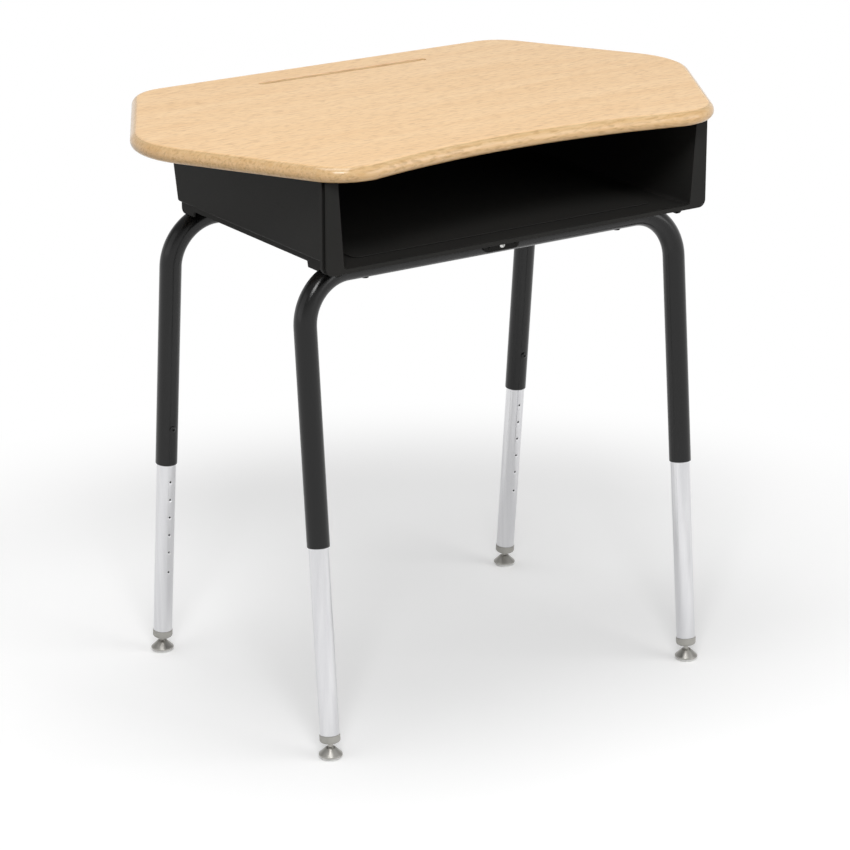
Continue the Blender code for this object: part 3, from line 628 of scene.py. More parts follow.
@dataclass
class DeskSizes:
    """The heights and places that more than one sub-assembly works from."""

    height: float = 0.7585
    gap: float = 0.0003
    top_thickness: float = 0.01905
    box_height: float = 0.116
    box_half_width: float = 0.271
    box_before_run: float = 0.0616
    box_behind_run: float = 0.0235
    flange_width: float = 0.014
    flange_thickness: float = 0.003
    floor_thickness: float = 0.00585
    panel_rise: float = 0.0016
    tab_thickness: float = 0.003
    tube_radius: float = 0.028575 / 2
    tube_wall: float = 0.001245
    leg_half_spacing: float = 0.2804
    run_half_spacing: float = 0.1554
    splay: float = math.radians(5.076)
    ball_radius: float = 0.0052
    pad_thickness: float = 0.005
    cap_above_ball: float = 0.0106
    cap_height: float = 0.0103
    insert_length: float = 0.3048
    insert_overlap: float = 0.062
    insert_radius: float = 0.0127
    lock_hole_from_end: float = 0.0101
    pilot_radius: float = 0.0023
    pilot_depth: float = 0.012
    frame_screw_half_spacing: float = 0.191
    frame_screw_radius: float = 0.0024
    frame_screw_cover: float = 0.0008
    top_screw_front_y: float = -0.120
    top_screw_middle_y: float = 0.060
    top_screw_back_x: float = 0.150

    def __post_init__(self) -> None:
        """Works out the heights and places that follow from the sizes."""
        # Heights of the box: upper edge, underside, border of the floor and raised panel.
        self.box_top = self.height - self.top_thickness - self.gap
        self.box_low = self.box_top - self.box_height
        self.floor_top = self.box_low + self.floor_thickness
        self.panel_top = self.floor_top + self.panel_rise
        # Front face of the bezel, and outer back face at the upper edge.
        self.box_front = -self.run_half_spacing - self.box_before_run
        self.box_back = self.run_half_spacing + self.box_behind_run
        # Height of the cross runs, where the leg axes meet the floor, and height of the balls.
        self.run_z = self.box_low - self.gap - self.tube_radius
        self.foot_y = self.run_half_spacing + self.run_z * math.tan(self.splay)
        self.ball_z = self.pad_thickness + self.gap + self.ball_radius
        # Distances up the leg from the floor.
        self.run_along = self.run_z / math.cos(self.splay)
        self.ball_along = self.ball_z / math.cos(self.splay)
        self.cap_bottom = self.ball_along + self.cap_above_ball
        self.insert_bottom = self.cap_bottom + self.cap_height + self.gap
        self.insert_top = self.insert_bottom + self.insert_length
        self.tube_end = self.insert_top - self.insert_overlap
        self.lock_hole = self.insert_top - self.lock_hole_from_end
        # Height of the frame screws' seats under the tubes, and the screws' reach up from it.
        self.seat_z = self.run_z - self.tube_radius - self.gap
        self.frame_screw_reach = self.floor_top - self.frame_screw_cover - self.gap - self.seat_z

    def frame_axis(self, end: int) -> Matrix:
        """The leaning plane of a frame: local Z up the legs, local -Y towards the desk's middle.

        Args:
            end: -1 for the front frame, 1 for the rear one.

        Returns:
            The plane's matrix.
        """
        lean = Matrix.Rotation(self.splay, 4, "X")
        turn = Matrix.Rotation(math.pi if end < 0 else 0.0, 4, "Z")
        return Matrix.Translation((0.0, end * self.foot_y, 0.0)) @ turn @ lean

    def leg_axis(self, corner: Corner) -> Matrix:
        """A leg's own axis: local Z up the leg from the floor."""
        shift = Matrix.Translation((corner.side * corner.end * self.leg_half_spacing, 0.0, 0.0))
        return self.frame_axis(corner.end) @ shift

    def ball(self, corner: Corner) -> Matrix:
        """Place of a leg's ball, level."""
        x, y = self.leg_half_spacing, self.foot_y - self.ball_z * math.tan(self.splay)
        return Matrix.Translation((corner.side * x, corner.end * y, self.ball_z))

    def top_screws(self) -> dict[str, Matrix]:
        """Where the top's screws sit under the flange, their heads facing down."""
        side_x = self.box_half_width + self.flange_width / 2
        back_y = self.box_back + self.flange_width / 2
        z = self.box_top - self.flange_thickness - self.gap
        places = {}
        for word, side in (("left", -1), ("right", 1)):
            for row, x, y in (
                ("front", side_x, self.top_screw_front_y),
                ("middle", side_x, self.top_screw_middle_y),
                ("back", self.top_screw_back_x, back_y),
            ):
                places[f"{row}_{word}"] = Matrix.Translation((side * x, y, z)) @ UPENDED
        return places

    def frame_screw(self, corner: Corner) -> Matrix:
        """Seat of the screw that holds the box to a frame near a leg, its head facing down."""
        x, y = self.frame_screw_half_spacing, self.run_half_spacing
        return Matrix.Translation((corner.side * x, corner.end * y, self.seat_z)) @ UPENDED

    def frame_screw_hole(self, corner: Corner) -> BMesh:
        """The blind hole of a frame screw through tube and floor."""
        low = -self.frame_screw_reach - self.gap
        return drill(self.frame_screw_radius + self.gap, low, MARGIN, self.frame_screw(corner))

    def tab_screw(self) -> Matrix:
        """Seat of the screw in the centre tab, its head facing the front."""
        y = -self.run_half_spacing - self.tube_radius - 2 * self.gap - self.tab_thickness
        return Matrix.Translation((0.0, y, self.run_z)) @ LAID


@dataclass
class DeskTop:
    """The moulded top with its hollow front edge and its pencil groove."""

    sizes: DeskSizes
    back_half: float = 0.28265
    back_y: float = 0.24535
    side_half: float = 0.42105
    side_y: float = 0.0071
    front_half: float = 0.27315
    front_y: float = -0.25705
    hollow: float = 0.0395
    back_radius: float = 0.0634
    side_radius: float = 0.1068
    front_radius: float = 0.0706
    upper_edge: float = 0.0105
    lower_edge: float = 0.008
    groove_length: float = 0.2585
    groove_width: float = 0.011
    groove_depth: float = 0.005
    groove_from_back: float = 0.0599
    pilot_depth: float = 0.0146
    hollow_steps: int = 40
    corner_steps: int = 28

    def corner(
        self, before: Vector, corner: Vector, after: Vector, radius: float
    ) -> tuple[Vector, Vector, float]:
        """The arc that rounds a corner between two straight edges.

        Args:
            before: a point on the edge that comes in.
            corner: the corner itself.
            after: a point on the edge that goes out.
            radius: the arc's radius.

        Returns:
            Where the arc starts, its centre and how far it turns.
        """
        back, ahead = (before - corner).normalized(), (after - corner).normalized()
        half_angle = back.angle(ahead) / 2
        centre = corner + (back + ahead).normalized() * radius / math.sin(half_angle)
        return corner + back * radius / math.tan(half_angle), centre, math.pi - 2 * half_angle

    def plan(self) -> BMesh:
        """The outline as one flat face at height 0."""
        front = Vector((self.front_half, self.front_y))
        side = Vector((self.side_half, self.side_y))
        back = Vector((self.back_half, self.back_y))
        hollow_radius = (self.front_half**2 + self.hollow**2) / (2 * self.hollow)
        hollow_centre = Vector((0.0, self.front_y + self.hollow - hollow_radius))
        # The front corner's arc touches the side edge and, from outside, the hollow's circle.
        along = (side - front).normalized()
        outward = Vector((along.y, -along.x))
        offset = front - outward * self.front_radius - hollow_centre
        reach = hollow_radius + self.front_radius
        lean = offset.dot(along)
        slide = math.sqrt(lean**2 - offset.length_squared + reach**2) - lean
        centre = hollow_centre + offset + along * slide
        to_corner = math.atan2(centre.y - hollow_centre.y, centre.x - hollow_centre.x)
        to_side = math.atan2(outward.y, outward.x)

        bm = bmesh.new()
        vert = bm.verts.new((0.0, self.front_y + self.hollow, 0.0))
        vert = swing(bm, vert, hollow_centre, to_corner - math.pi / 2, self.hollow_steps)
        vert = swing(bm, vert, centre, to_side - (to_corner - math.pi), self.corner_steps)
        mirrored_back = Vector((-back.x, back.y))
        for start, middle, turn in (
            self.corner(front, side, back, self.side_radius),
            self.corner(side, back, mirrored_back, self.back_radius),
        ):
            vert = line_to(bm, vert, start)
            vert = swing(bm, vert, middle, turn, self.corner_steps)
        line_to(bm, vert, Vector((0.0, self.back_y)))
        bmesh.ops.mirror(bm, geom=bm.verts[:] + bm.edges[:], axis="X", merge_dist=MERGE)
        bmesh.ops.remove_doubles(bm, verts=bm.verts, dist=MERGE)
        bmesh.ops.contextual_create(bm, geom=bm.edges[:])
        return bm

    def groove(self) -> BMesh:
        """The ball-ended tool whose chord at the surface is the groove's width."""
        radius = ((self.groove_width / 2) ** 2 + self.groove_depth**2) / (2 * self.groove_depth)
        reach = self.groove_length / 2 - self.groove_width / 2
        bm = bmesh.new()
        bmesh.ops.create_uvsphere(bm, u_segments=40, v_segments=20, radius=radius)
        for vert in bm.verts:
            if abs(vert.co.z) > MERGE:
                vert.co.z += math.copysign(reach, vert.co.z)
        z = self.sizes.height - self.groove_depth + radius
        place = Matrix.Translation((0.0, self.back_y - self.groove_from_back, z))
        return placed(bm, place @ Matrix.Rotation(math.pi / 2, 4, "Y"))

    def build(self) -> None:
        """The plan made thick, its edges rounded, the groove and the screws' pilots cut."""
        sizes = self.sizes
        bm = self.plan()
        made = bmesh.ops.extrude_face_region(bm, geom=bm.faces[:])
        raised = [item for item in made["geom"] if isinstance(item, BMVert)]
        bmesh.ops.translate(bm, vec=(0, 0, sizes.top_thickness), verts=raised)
        bmesh.ops.translate(bm, vec=(0, 0, sizes.height - sizes.top_thickness), verts=bm.verts)
        bmesh.ops.recalc_face_normals(bm, faces=bm.faces)
        over, under = sizes.height - MERGE, sizes.height - sizes.top_thickness + MERGE
        round_edges(bm, lambda mid, way: abs(way.z) < 0.5 and mid.z > over, self.upper_edge, 12)
        round_edges(bm, lambda mid, way: abs(way.z) < 0.5 and mid.z < under, self.lower_edge, 8)
        tools = [self.groove()]
        for place in sizes.top_screws().values():
            tools.append(drill(sizes.pilot_radius, -self.pilot_depth, 0.0, place))
        Standing("desk_top", "desk", "maple_top", MAPLE).add(cut(bm, tools), sharp_deg=50.0)


@dataclass
class BookBox:
    """The moulded book box: tray, bezel, flange, floor, skirts and centre tab in one piece."""

    sizes: DeskSizes
    draft: float = math.tan(math.radians(4.15))
    wall: float = 0.003
    back_corner: float = 0.004
    inside_corner: float = 0.005
    inside_fillet: float = 0.004
    bottom_edge: float = 0.003
    mouth_edge: float = 0.0042
    flange_edge: float = 0.0008
    ledge_thickness: float = 0.00185
    panel_half: float = 0.225
    panel_from_front: float = 0.0325
    panel_from_back: float = 0.018
    panel_corner: float = 0.010
    panel_edge: float = 0.0004
    panel_shadow_line: float = 0.0009
    panel_undercut: float = 0.003
    bezel_half: float = 0.2854
    bezel_depth: float = 0.014
    bezel_lip: float = 0.0014
    bezel_lip_edges: tuple[float, float] = (0.00112, 0.0008)
    bezel_corner: float = 0.010
    bezel_groove: float = 0.0068
    bezel_groove_depth: float = 0.005
    bezel_overlap: float = 0.001
    skirt_half: float = 0.257
    skirt_thickness: float = 0.003
    skirt_drop: float = 0.0043
    saddle_drop: float = 0.0117
    saddle_clearance: float = 0.0004
    saddle_corner: float = 0.007
    saddle_slant: float = 0.0025
    toe_drop: float = 0.0091
    toe_corner: float = 0.009
    front_saddle_behind: float = 0.0258
    rear_saddle_before: float = 0.0165
    rear_saddle_behind: float = 0.0140
    tab_half: float = 0.031
    tab_slant: float = 0.006
    tab_drop: float = 0.0221
    tab_corner: float = 0.004
    tab_edge: float = 0.0006
    dot_spacing: float = 0.0200
    dot_radius: float = 0.0018
    dot_depth: float = 0.0015

    def __post_init__(self) -> None:
        """Works out the bezel's back, the height of the ledge and the skirts' rear end."""
        self.bezel_back = self.sizes.box_front + self.bezel_depth
        self.ledge = self.sizes.floor_top - self.ledge_thickness
        self.skirt_back = self.sizes.run_half_spacing + self.rear_saddle_behind

    def drafted(self, inset: float, front: float, low: float, high: float, corner: float) -> BMesh:
        """A block with the tray's leaning sides and back.

        Args:
            inset: how far its sides lie inside the outer faces.
            front: its front face.
            low: its underside.
            high: its upper side.
            corner: rounding of its upright back edges.

        Returns:
            The block.
        """
        half, back = self.sizes.box_half_width, self.sizes.box_back
        bm = block((-half, front, low), (half, back, high))
        for vert in bm.verts:
            inwards = inset + (self.sizes.box_top - vert.co.z) * self.draft
            vert.co.x -= math.copysign(inwards, vert.co.x)
            if vert.co.y > 0:
                vert.co.y -= inwards
        round_edges(bm, lambda mid, way: abs(way.z) > 0.5 and mid.y > 0, corner, 8)
        return bm

    def tray(self) -> BMesh:
        """The outer form of the tray with its lower edges rounded."""
        low, back = self.ledge, self.bezel_back
        front = back - self.bezel_depth / 2
        bm = self.drafted(0.0, front, low, self.sizes.box_top, self.back_corner)
        round_edges(bm, lambda mid, way: mid.z < low + MERGE and mid.y > back, self.bottom_edge, 5)
        return bm

    def bezel_slab(self, half: float, front: float, back: float, edge: float) -> BMesh:
        """One layer of the bezel.

        Args:
            half: half its width.
            front: its front face.
            back: its back face.
            edge: rounding of its front edges.

        Returns:
            The layer with round lower corners.
        """
        low, high = self.sizes.box_low, self.sizes.box_top
        bm = block((-half, front, low), (half, back, high))
        middle, top = (low + high) / 2, high - MERGE
        corner = self.bezel_corner
        round_edges(bm, lambda mid, way: abs(way.y) > 0.5 and mid.z < middle, corner, 10)
        if edge:
            round_edges(bm, lambda mid, way: mid.y < front + MERGE and mid.z < top, edge, 5)
        return bm

    def bezel(self) -> list[BMesh]:
        """Front lip, groove bottom and back lip."""
        front, back, half = self.sizes.box_front, self.bezel_back, self.bezel_half
        groove_half = half - self.bezel_groove_depth
        groove_end = front + self.bezel_lip + self.bezel_groove
        front_edge, back_edge = self.bezel_lip_edges
        filling = (front + self.bezel_lip / 2, back - self.bezel_overlap)
        return [
            self.bezel_slab(half, front, front + self.bezel_lip, front_edge),
            self.bezel_slab(groove_half, *filling, 0.0),
            self.bezel_slab(half, groove_end, back, back_edge),
        ]

    def flange(self) -> BMesh:
        """The flange under the top."""
        sizes, front = self.sizes, self.bezel_back
        half, back = sizes.box_half_width + sizes.flange_width, sizes.box_back + sizes.flange_width
        low = sizes.box_top - sizes.flange_thickness
        bm = block((-half, front - MARGIN, low), (half, back, sizes.box_top))
        radius = self.back_corner + sizes.flange_width
        round_edges(bm, lambda mid, way: abs(way.z) > 0.5 and mid.y > 0, radius, 12)
        round_edges(bm, lambda mid, way: mid.z < low + MERGE and mid.y > front, self.flange_edge, 2)
        return bm

    def thick_floor(self) -> BMesh:
        """The thick middle of the floor, closed at the sides by the skirts."""
        overlap = self.skirt_thickness / 2
        half, back = self.skirt_half - overlap, self.skirt_back - overlap
        front, low = self.bezel_back - 2 * MARGIN, self.sizes.box_low
        return block((-half, front, low), (half, back, self.ledge + self.ledge_thickness / 2))

    def skirt(self, side: int) -> BMesh:
        """The rib under one side with its two saddles notched over the tubes."""
        sizes, run_y = self.sizes, self.sizes.run_half_spacing
        left, right = sorted(
            (side * self.skirt_half, side * (self.skirt_half - self.skirt_thickness))
        )
        low, upper = sizes.box_low - self.saddle_drop, self.ledge + self.ledge_thickness / 3
        front, toe = self.bezel_back - MARGIN, sizes.box_low - self.toe_drop
        plate = block((left, front, low), (right, self.skirt_back, upper))
        round_edges(
            plate,
            lambda mid, way: abs(way.x) > 0.5 and mid.z < low + MERGE and mid.y > 0,
            self.saddle_corner,
            6,
        )
        # The room between the saddles opens downwards a little.
        between = block(
            (left - MARGIN, self.front_saddle_behind - run_y, low - MARGIN),
            (right + MARGIN, run_y - self.rear_saddle_before, sizes.box_low - self.skirt_drop),
        )
        for vert in between.verts:
            if vert.co.z < low:
                vert.co.y += math.copysign(self.saddle_slant, vert.co.y)
        # In front of the front tube a shorter toe with a round corner is left.
        below_toe = block(
            (left - MARGIN, front - MARGIN, low - MARGIN), (right + MARGIN, -run_y, toe)
        )
        radius = sizes.tube_radius + self.saddle_clearance
        bars = [LegFrame(sizes, end).bar(radius) for end in (-1, 1)]
        plate = cut(plate, [between, below_toe, *bars])
        round_edges(
            plate,
            lambda mid, way: abs(way.x) > 0.5 and mid.y < front + MERGE and mid.z < toe + MERGE,
            self.toe_corner,
            6,
        )
        return plate

    def centre_tab(self) -> BMesh:
        """The tab in front of the front tube, with a moulded dot each side."""
        sizes, under = self.sizes, self.sizes.box_low
        back = -sizes.run_half_spacing - sizes.tube_radius - sizes.gap
        front = back - sizes.tab_thickness
        low = (-self.tab_half, front, under - self.tab_drop)
        bm = block(low, (self.tab_half, back, under + MARGIN))
        for vert in bm.verts:
            if vert.co.z < under:
                vert.co.x -= math.copysign(self.tab_slant, vert.co.x)
        round_edges(bm, lambda mid, way: abs(way.y) > 0.5 and mid.z < under, self.tab_corner, 5)
        round_edges(bm, lambda mid, way: mid.y < front + MERGE and mid.z < under, self.tab_edge, 2)
        dots = []
        for side in (-1, 1):
            place = Matrix.Translation((side * self.dot_spacing, front, sizes.run_z)) @ LAID
            dots.append(drill(self.dot_radius, -self.dot_depth, MARGIN, place))
        return cut(bm, dots)

    def inside(self) -> BMesh:
        """The room for books, with round inner corners."""
        front, floor = self.sizes.box_front - MARGIN, self.sizes.floor_top
        high = self.sizes.box_top + MARGIN
        bm = self.drafted(self.wall, front, floor, high, self.inside_corner)
        round_edges(
            bm,
            lambda mid, way: mid.z < floor + MERGE and mid.y > front + MERGE,
            self.inside_fillet,
            6,
        )
        return bm

    def panel(self) -> BMesh:
        """The raised panel on the floor, with a dark shadow line along its foot."""
        sizes, half, inset = self.sizes, self.panel_half, self.panel_undercut
        floor_back = sizes.box_back - self.wall - (sizes.box_top - sizes.floor_top) * self.draft
        front, back = sizes.box_front + self.panel_from_front, floor_back - self.panel_from_back
        foot, high = sizes.floor_top + self.panel_shadow_line, sizes.panel_top
        bm = block((-half, front, foot), (half, back, high))
        round_edges(bm, lambda mid, way: abs(way.z) > 0.5, self.panel_corner, 8)
        round_edges(bm, lambda mid, way: mid.z > high - MERGE, self.panel_edge, 3)
        core = block(
            (inset - half, front + inset, sizes.floor_top - MARGIN),
            (half - inset, back - inset, (foot + high) / 2),
        )
        round_edges(core, lambda mid, way: abs(way.z) > 0.5, self.panel_corner - inset, 8)
        return combined(bm, [(core, Boolean.JOIN)])

    def holes(self) -> list[BMesh]:
        """Holes for the screws; the tab's is drilled from just in front of its face."""
        sizes = self.sizes
        radius, low = sizes.pilot_radius, -sizes.pilot_depth
        made = [drill(radius, low, MARGIN, place) for place in sizes.top_screws().values()]
        made.append(drill(radius, low, 2 * sizes.gap, sizes.tab_screw()))
        return made + [sizes.frame_screw_hole(corner) for corner in Corner]

    def build(self) -> None:
        """Joins the forms, hollows them, and softens the edges of the mouth."""
        joined = [*self.bezel(), self.flange(), self.thick_floor(), self.centre_tab()]
        joined += [self.skirt(-1), self.skirt(1)]
        tools = [(shape, Boolean.JOIN) for shape in joined]
        tools += [(self.inside(), Boolean.CUT), (self.panel(), Boolean.JOIN)]
        tools += [(hole, Boolean.CUT) for hole in self.holes()]
        bm = combined(self.tray(), tools)
        front, floor = self.sizes.box_front + MERGE, self.sizes.floor_top
        round_edges(
            bm,
            lambda mid, way: mid.y < front and abs(way.x) > 0.9 and abs(mid.z - floor) < MERGE,
            self.mouth_edge,
            6,
        )
        Standing("book_box", "desk", "black_plastic", BOX_PLASTIC).add(bm, sharp_deg=30.0)


@dataclass
class LegFrame:
    """One bent tube: two legs and the cross run between them."""

    sizes: DeskSizes
    end: int
    bend_radius: float = 0.0635
    sides: int = 48
    bend_steps: int = 28
    hole_radius: float = 0.0028
    hole_span: tuple[float, float] = (0.006, 0.017)

    def bar(self, radius: float, past_end: float = 0.0) -> BMesh:
        """A solid bar along the frame.

        Args:
            radius: the bar's radius.
            past_end: how far it runs past the tube's lower ends.

        Returns:
            The bar in its place.
        """
        sizes = self.sizes
        bend_z = sizes.run_along - self.bend_radius
        bend_x = sizes.leg_half_spacing - self.bend_radius
        bm = bmesh.new()
        bmesh.ops.create_circle(bm, cap_ends=False, segments=self.sides, radius=radius)
        start = Vector((-sizes.leg_half_spacing, 0.0, sizes.tube_end - past_end))
        bmesh.ops.translate(bm, vec=start, verts=bm.verts)
        ring = self.pushed(bm, bm.edges[:], Vector((0.0, 0.0, bend_z - start.z)))
        ring = self.bent(bm, ring, Vector((-bend_x, 0.0, bend_z)))
        ring = self.pushed(bm, ring, Vector((2 * bend_x, 0.0, 0.0)))
        ring = self.bent(bm, ring, Vector((bend_x, 0.0, bend_z)))
        self.pushed(bm, ring, Vector((0.0, 0.0, start.z - bend_z)))
        bmesh.ops.holes_fill(bm, edges=bm.edges, sides=0)
        placed(bm, sizes.frame_axis(self.end))
        bmesh.ops.recalc_face_normals(bm, faces=bm.faces)
        return bm

    def pushed(self, bm: BMesh, ring: list[BMEdge], way: Vector) -> list[BMEdge]:
        """Pushes the bar's open end straight on, and returns the new end."""
        made = bmesh.ops.extrude_edge_only(bm, edges=ring)["geom"]
        verts = [item for item in made if isinstance(item, BMVert)]
        bmesh.ops.translate(bm, vec=way, verts=verts)
        return [item for item in made if isinstance(item, BMEdge) and item.is_boundary]

    def bent(self, bm: BMesh, ring: list[BMEdge], centre: Vector) -> list[BMEdge]:
        """Carries the bar's open end a quarter turn round a bend, and returns the new end."""
        made = bmesh.ops.spin(
            bm,
            geom=ring,
            cent=centre,
            axis=(0, 1, 0),
            angle=math.pi / 2,
            steps=self.bend_steps,
            use_merge=False,
        )
        return [item for item in made["geom_last"] if isinstance(item, BMEdge)]

    def build(self) -> None:
        """The bar bored and drilled."""
        sizes = self.sizes
        word = "front" if self.end < 0 else "rear"
        tools = [self.bar(sizes.tube_radius - sizes.tube_wall, MARGIN)]
        seat = Matrix.Translation((0.0, 0.0, sizes.lock_hole)) @ LAID
        for corner in Corner:
            if corner.end == self.end:
                place = sizes.leg_axis(corner) @ seat
                tools.append(drill(self.hole_radius, *self.hole_span, place))
                tools.append(sizes.frame_screw_hole(corner))
        if self.end < 0:
            tools.append(drill(sizes.pilot_radius, -sizes.pilot_depth, MARGIN, sizes.tab_screw()))
        bm = cut(self.bar(sizes.tube_radius), tools)
        Standing(f"{word}_leg_frame", "desk", "black_paint", POWDER_COAT).add(bm, sharp_deg=40.0)


@dataclass(frozen=True)
class Screw:
    """A pan-head screw with a crossed drive, its seat at 0, its head above, its shank below."""

    head: float
    head_height: float
    shank: float
    # Shares of the head's radius and height.
    crown: float = 0.55
    crown_height: float = 0.96
    rim_height: float = 0.45
    rounding: float = 0.2
    slot_reach: float = 0.55
    slot_width: float = 0.28
    slot_depth: float = 0.5
    slot_taper: float = 0.55

    def slots(self) -> list[BMesh]:
        """The two tools that cut the drive, narrower at their bottom."""
        reach, depth = self.head * self.slot_reach, self.head_height * self.slot_depth
        across = reach * self.slot_width
        made = []
        for length, width in ((reach, across), (across, reach)):
            bm = block((-length, -width, -depth), (length, width, depth))
            for vert in bm.verts:
                if vert.co.z < 0:
                    vert.co.xy *= self.slot_taper
            made.append(placed(bm, Matrix.Translation((0.0, 0.0, self.head_height))))
        return made

    def solid(self, tip: float, place: Matrix) -> BMesh:
        """The screw in its place.

        Args:
            tip: where the shank ends, below 0.
            place: its seat, Z out of the head.

        Returns:
            The screw.
        """
        head, high, shank = self.head, self.head_height, self.shank
        rounding = head * self.rounding
        bm = turned(
            [
                (0.0, high),
                (head * self.crown, high * self.crown_height, rounding),
                (head, high * self.rim_height, rounding),
                (head, 0.0),
                (shank, 0.0),
                (shank, tip),
                (0.0, tip),
            ],
            steps=40,
        )
        return placed(cut(bm, self.slots()), place)


@dataclass
class Leg:
    """What one leg holds below its tube: insert, lock screw, end cap and swivel glide."""

    sizes: DeskSizes
    corner: Corner
    insert_wall: float = 0.001245
    insert_edge: float = 0.0004
    dimple_radius: float = 0.004
    dimple_depth: float = 0.0009
    dimple_edge: float = 0.0002
    hole_radius: float = 0.00135
    hole_pitch: float = 0.0254
    hole_pitches: int = 7
    last_pitch: float = 0.0287
    cap_radius: float = 0.0131
    cap_chamfer: float = 0.002
    cap_end_wall: float = 0.006
    cap_edge: float = 0.001
    cap_sharp_edge: float = 0.0005
    stem_radius: float = 0.00635 / 2
    stem_length: float = 0.0256
    stem_edge: float = 0.0006
    pad_radius: float = 0.0123
    pad_edge: float = 0.0006
    foot_radius: float = 0.015
    rim_low: float = 0.0041
    rim_height: float = 0.0018
    rim_edge: float = 0.0006
    shoulder_edge: float = 0.001
    neck_radius: float = 0.0062
    neck_above: float = 0.0038
    neck_edge: float = 0.0004
    lip_above: float = 0.0028
    lip_flare: float = 0.0005
    seat_radius: float = 0.004
    cup_steps: int = 10
    lock_screw: Screw = Screw(0.00425, 0.0025, 0.0025)
    lock_clearance: float = 0.0004

    def stands(self, piece: str, body: str, slot: str, finish: Finish) -> Standing:
        """What a piece of this leg stands for."""
        word = self.corner.word
        rides_on = body if body == "desk" else f"{body}_{word}"
        return Standing(f"{piece}_{word}", rides_on, slot, finish)

    def put(self, bm: BMesh) -> BMesh:
        """Moves a shape from the leg's own axis to its place."""
        return placed(bm, self.sizes.leg_axis(self.corner))

    def build_insert(self) -> None:
        """The chromed tube with its row of adjusting dimples on the inner side."""
        sizes, edge = self.sizes, self.insert_edge
        outer, inner = sizes.insert_radius, sizes.insert_radius - self.insert_wall
        low, high = sizes.insert_bottom, sizes.insert_top
        ends = [(outer, high, edge), (outer, low, edge), (inner, low, edge), (inner, high, edge)]
        tube = turned(ends, steps=56)
        steps = range(self.hole_pitches + 1)
        heights = [sizes.lock_hole - step * self.hole_pitch for step in steps]
        heights.append(heights[-1] - self.last_pitch)
        # The dimple's cone goes on past the surface, and a small drill goes through below it.
        slope = (self.dimple_radius - self.hole_radius) / self.dimple_depth
        profile = [
            (0.0, outer + MARGIN),
            (self.dimple_radius + slope * MARGIN, outer + MARGIN),
            (self.hole_radius, outer - self.dimple_depth, self.dimple_edge),
            (self.hole_radius, inner / 2),
            (0.0, inner / 2),
        ]
        places = [Matrix.Translation((0, 0, z)) @ LAID for z in heights]
        tools = [placed(turned(profile, steps=32), place) for place in places]
        bm = self.put(cut(tube, tools))
        self.stands("leg_insert", "leg", "chrome", CHROME).add(bm, sharp_deg=40.0)

    def build_cap(self) -> None:
        """The plug with its shoulder and its blind bore."""
        sizes = self.sizes
        low, shoulder = sizes.cap_bottom, sizes.cap_bottom + sizes.cap_height
        plug = sizes.insert_radius - self.insert_wall - sizes.gap
        bore = self.stem_radius + sizes.gap
        bore_end = sizes.ball_along + self.stem_length + sizes.gap
        plug_end = bore_end + self.cap_end_wall
        bm = turned(
            [
                (0.0, plug_end),
                (plug, plug_end, self.cap_edge),
                (plug, shoulder),
                (self.cap_radius, shoulder, self.cap_sharp_edge),
                (self.cap_radius, low + self.cap_chamfer, self.cap_edge),
                (self.cap_radius - self.cap_chamfer, low, self.cap_edge),
                (bore, low, self.cap_sharp_edge),
                (bore, bore_end),
                (0.0, bore_end),
            ],
            steps=48,
        )
        self.stands("end_cap", "leg", "grey_plastic", CAP_PLASTIC).add(self.put(bm))

    def build_stem(self) -> None:
        """The pin with its ball."""
        sizes, radius = self.sizes, self.stem_radius
        low, high = sizes.ball_along, sizes.ball_along + self.stem_length
        bm = bmesh.new()
        bmesh.ops.create_uvsphere(bm, u_segments=32, v_segments=24, radius=sizes.ball_radius)
        bmesh.ops.translate(bm, vec=(0, 0, low), verts=bm.verts)
        outline = [(0.0, high), (radius, high, self.stem_edge), (radius, low), (0.0, low)]
        pin = turned(outline, steps=32)
        bm = self.put(combined(bm, [(pin, Boolean.JOIN)]))
        self.stands("glide_stem", "stem", "nickel", NICKEL).add(bm)

    def build_foot(self) -> None:
        """The pressed foot, closed over the ball."""
        sizes = self.sizes
        socket = sizes.ball_radius + sizes.gap
        rim_low = self.rim_low - sizes.ball_z
        rim_high = rim_low + self.rim_height
        recess = self.pad_radius + sizes.gap
        ceiling = sizes.pad_thickness + sizes.gap - sizes.ball_z
        lip = math.asin(self.lip_above / socket)
        seat = -math.acos(self.seat_radius / socket)
        steps = self.cup_steps
        cup = [seat + (lip - seat) * step / steps for step in range(steps + 1)]
        half_rim = self.rim_height / 2
        bm = turned(
            [
                (self.neck_radius, self.neck_above, self.neck_edge),
                (self.foot_radius - half_rim, rim_high + half_rim, self.shoulder_edge),
                (self.foot_radius, rim_high, self.rim_edge),
                (self.foot_radius, rim_low, self.rim_edge),
                (recess, rim_low),
                (recess, ceiling),
                (self.seat_radius, ceiling),
                *[(socket * math.cos(angle), socket * math.sin(angle)) for angle in cup],
                (socket * math.cos(lip) + self.lip_flare, self.neck_above),
            ],
            steps=56,
        )
        placed(bm, sizes.ball(self.corner))
        self.stands("glide_foot", "foot", "nickel", NICKEL).add(bm)

    def build_pad(self) -> None:
        """The nylon disc under the foot."""
        sizes, radius = self.sizes, self.pad_radius
        high, low = sizes.pad_thickness - sizes.ball_z, -sizes.ball_z
        outline = [(0.0, high), (radius, high), (radius, low, self.pad_edge), (0.0, low)]
        bm = placed(turned(outline, steps=56), sizes.ball(self.corner))
        self.stands("glide_pad", "foot", "white_nylon", NYLON).add(bm)

    def build_lock_screw(self) -> None:
        """The lock screw on the inner side of the tube."""
        sizes = self.sizes
        seat = sizes.tube_radius + sizes.gap
        tip = sizes.insert_radius + self.lock_clearance - seat
        place = Matrix.Translation((0.0, -seat, sizes.lock_hole)) @ LAID
        bm = self.put(self.lock_screw.solid(tip, place))
        self.stands("lock_screw", "desk", "black_paint", POWDER_COAT).add(bm)

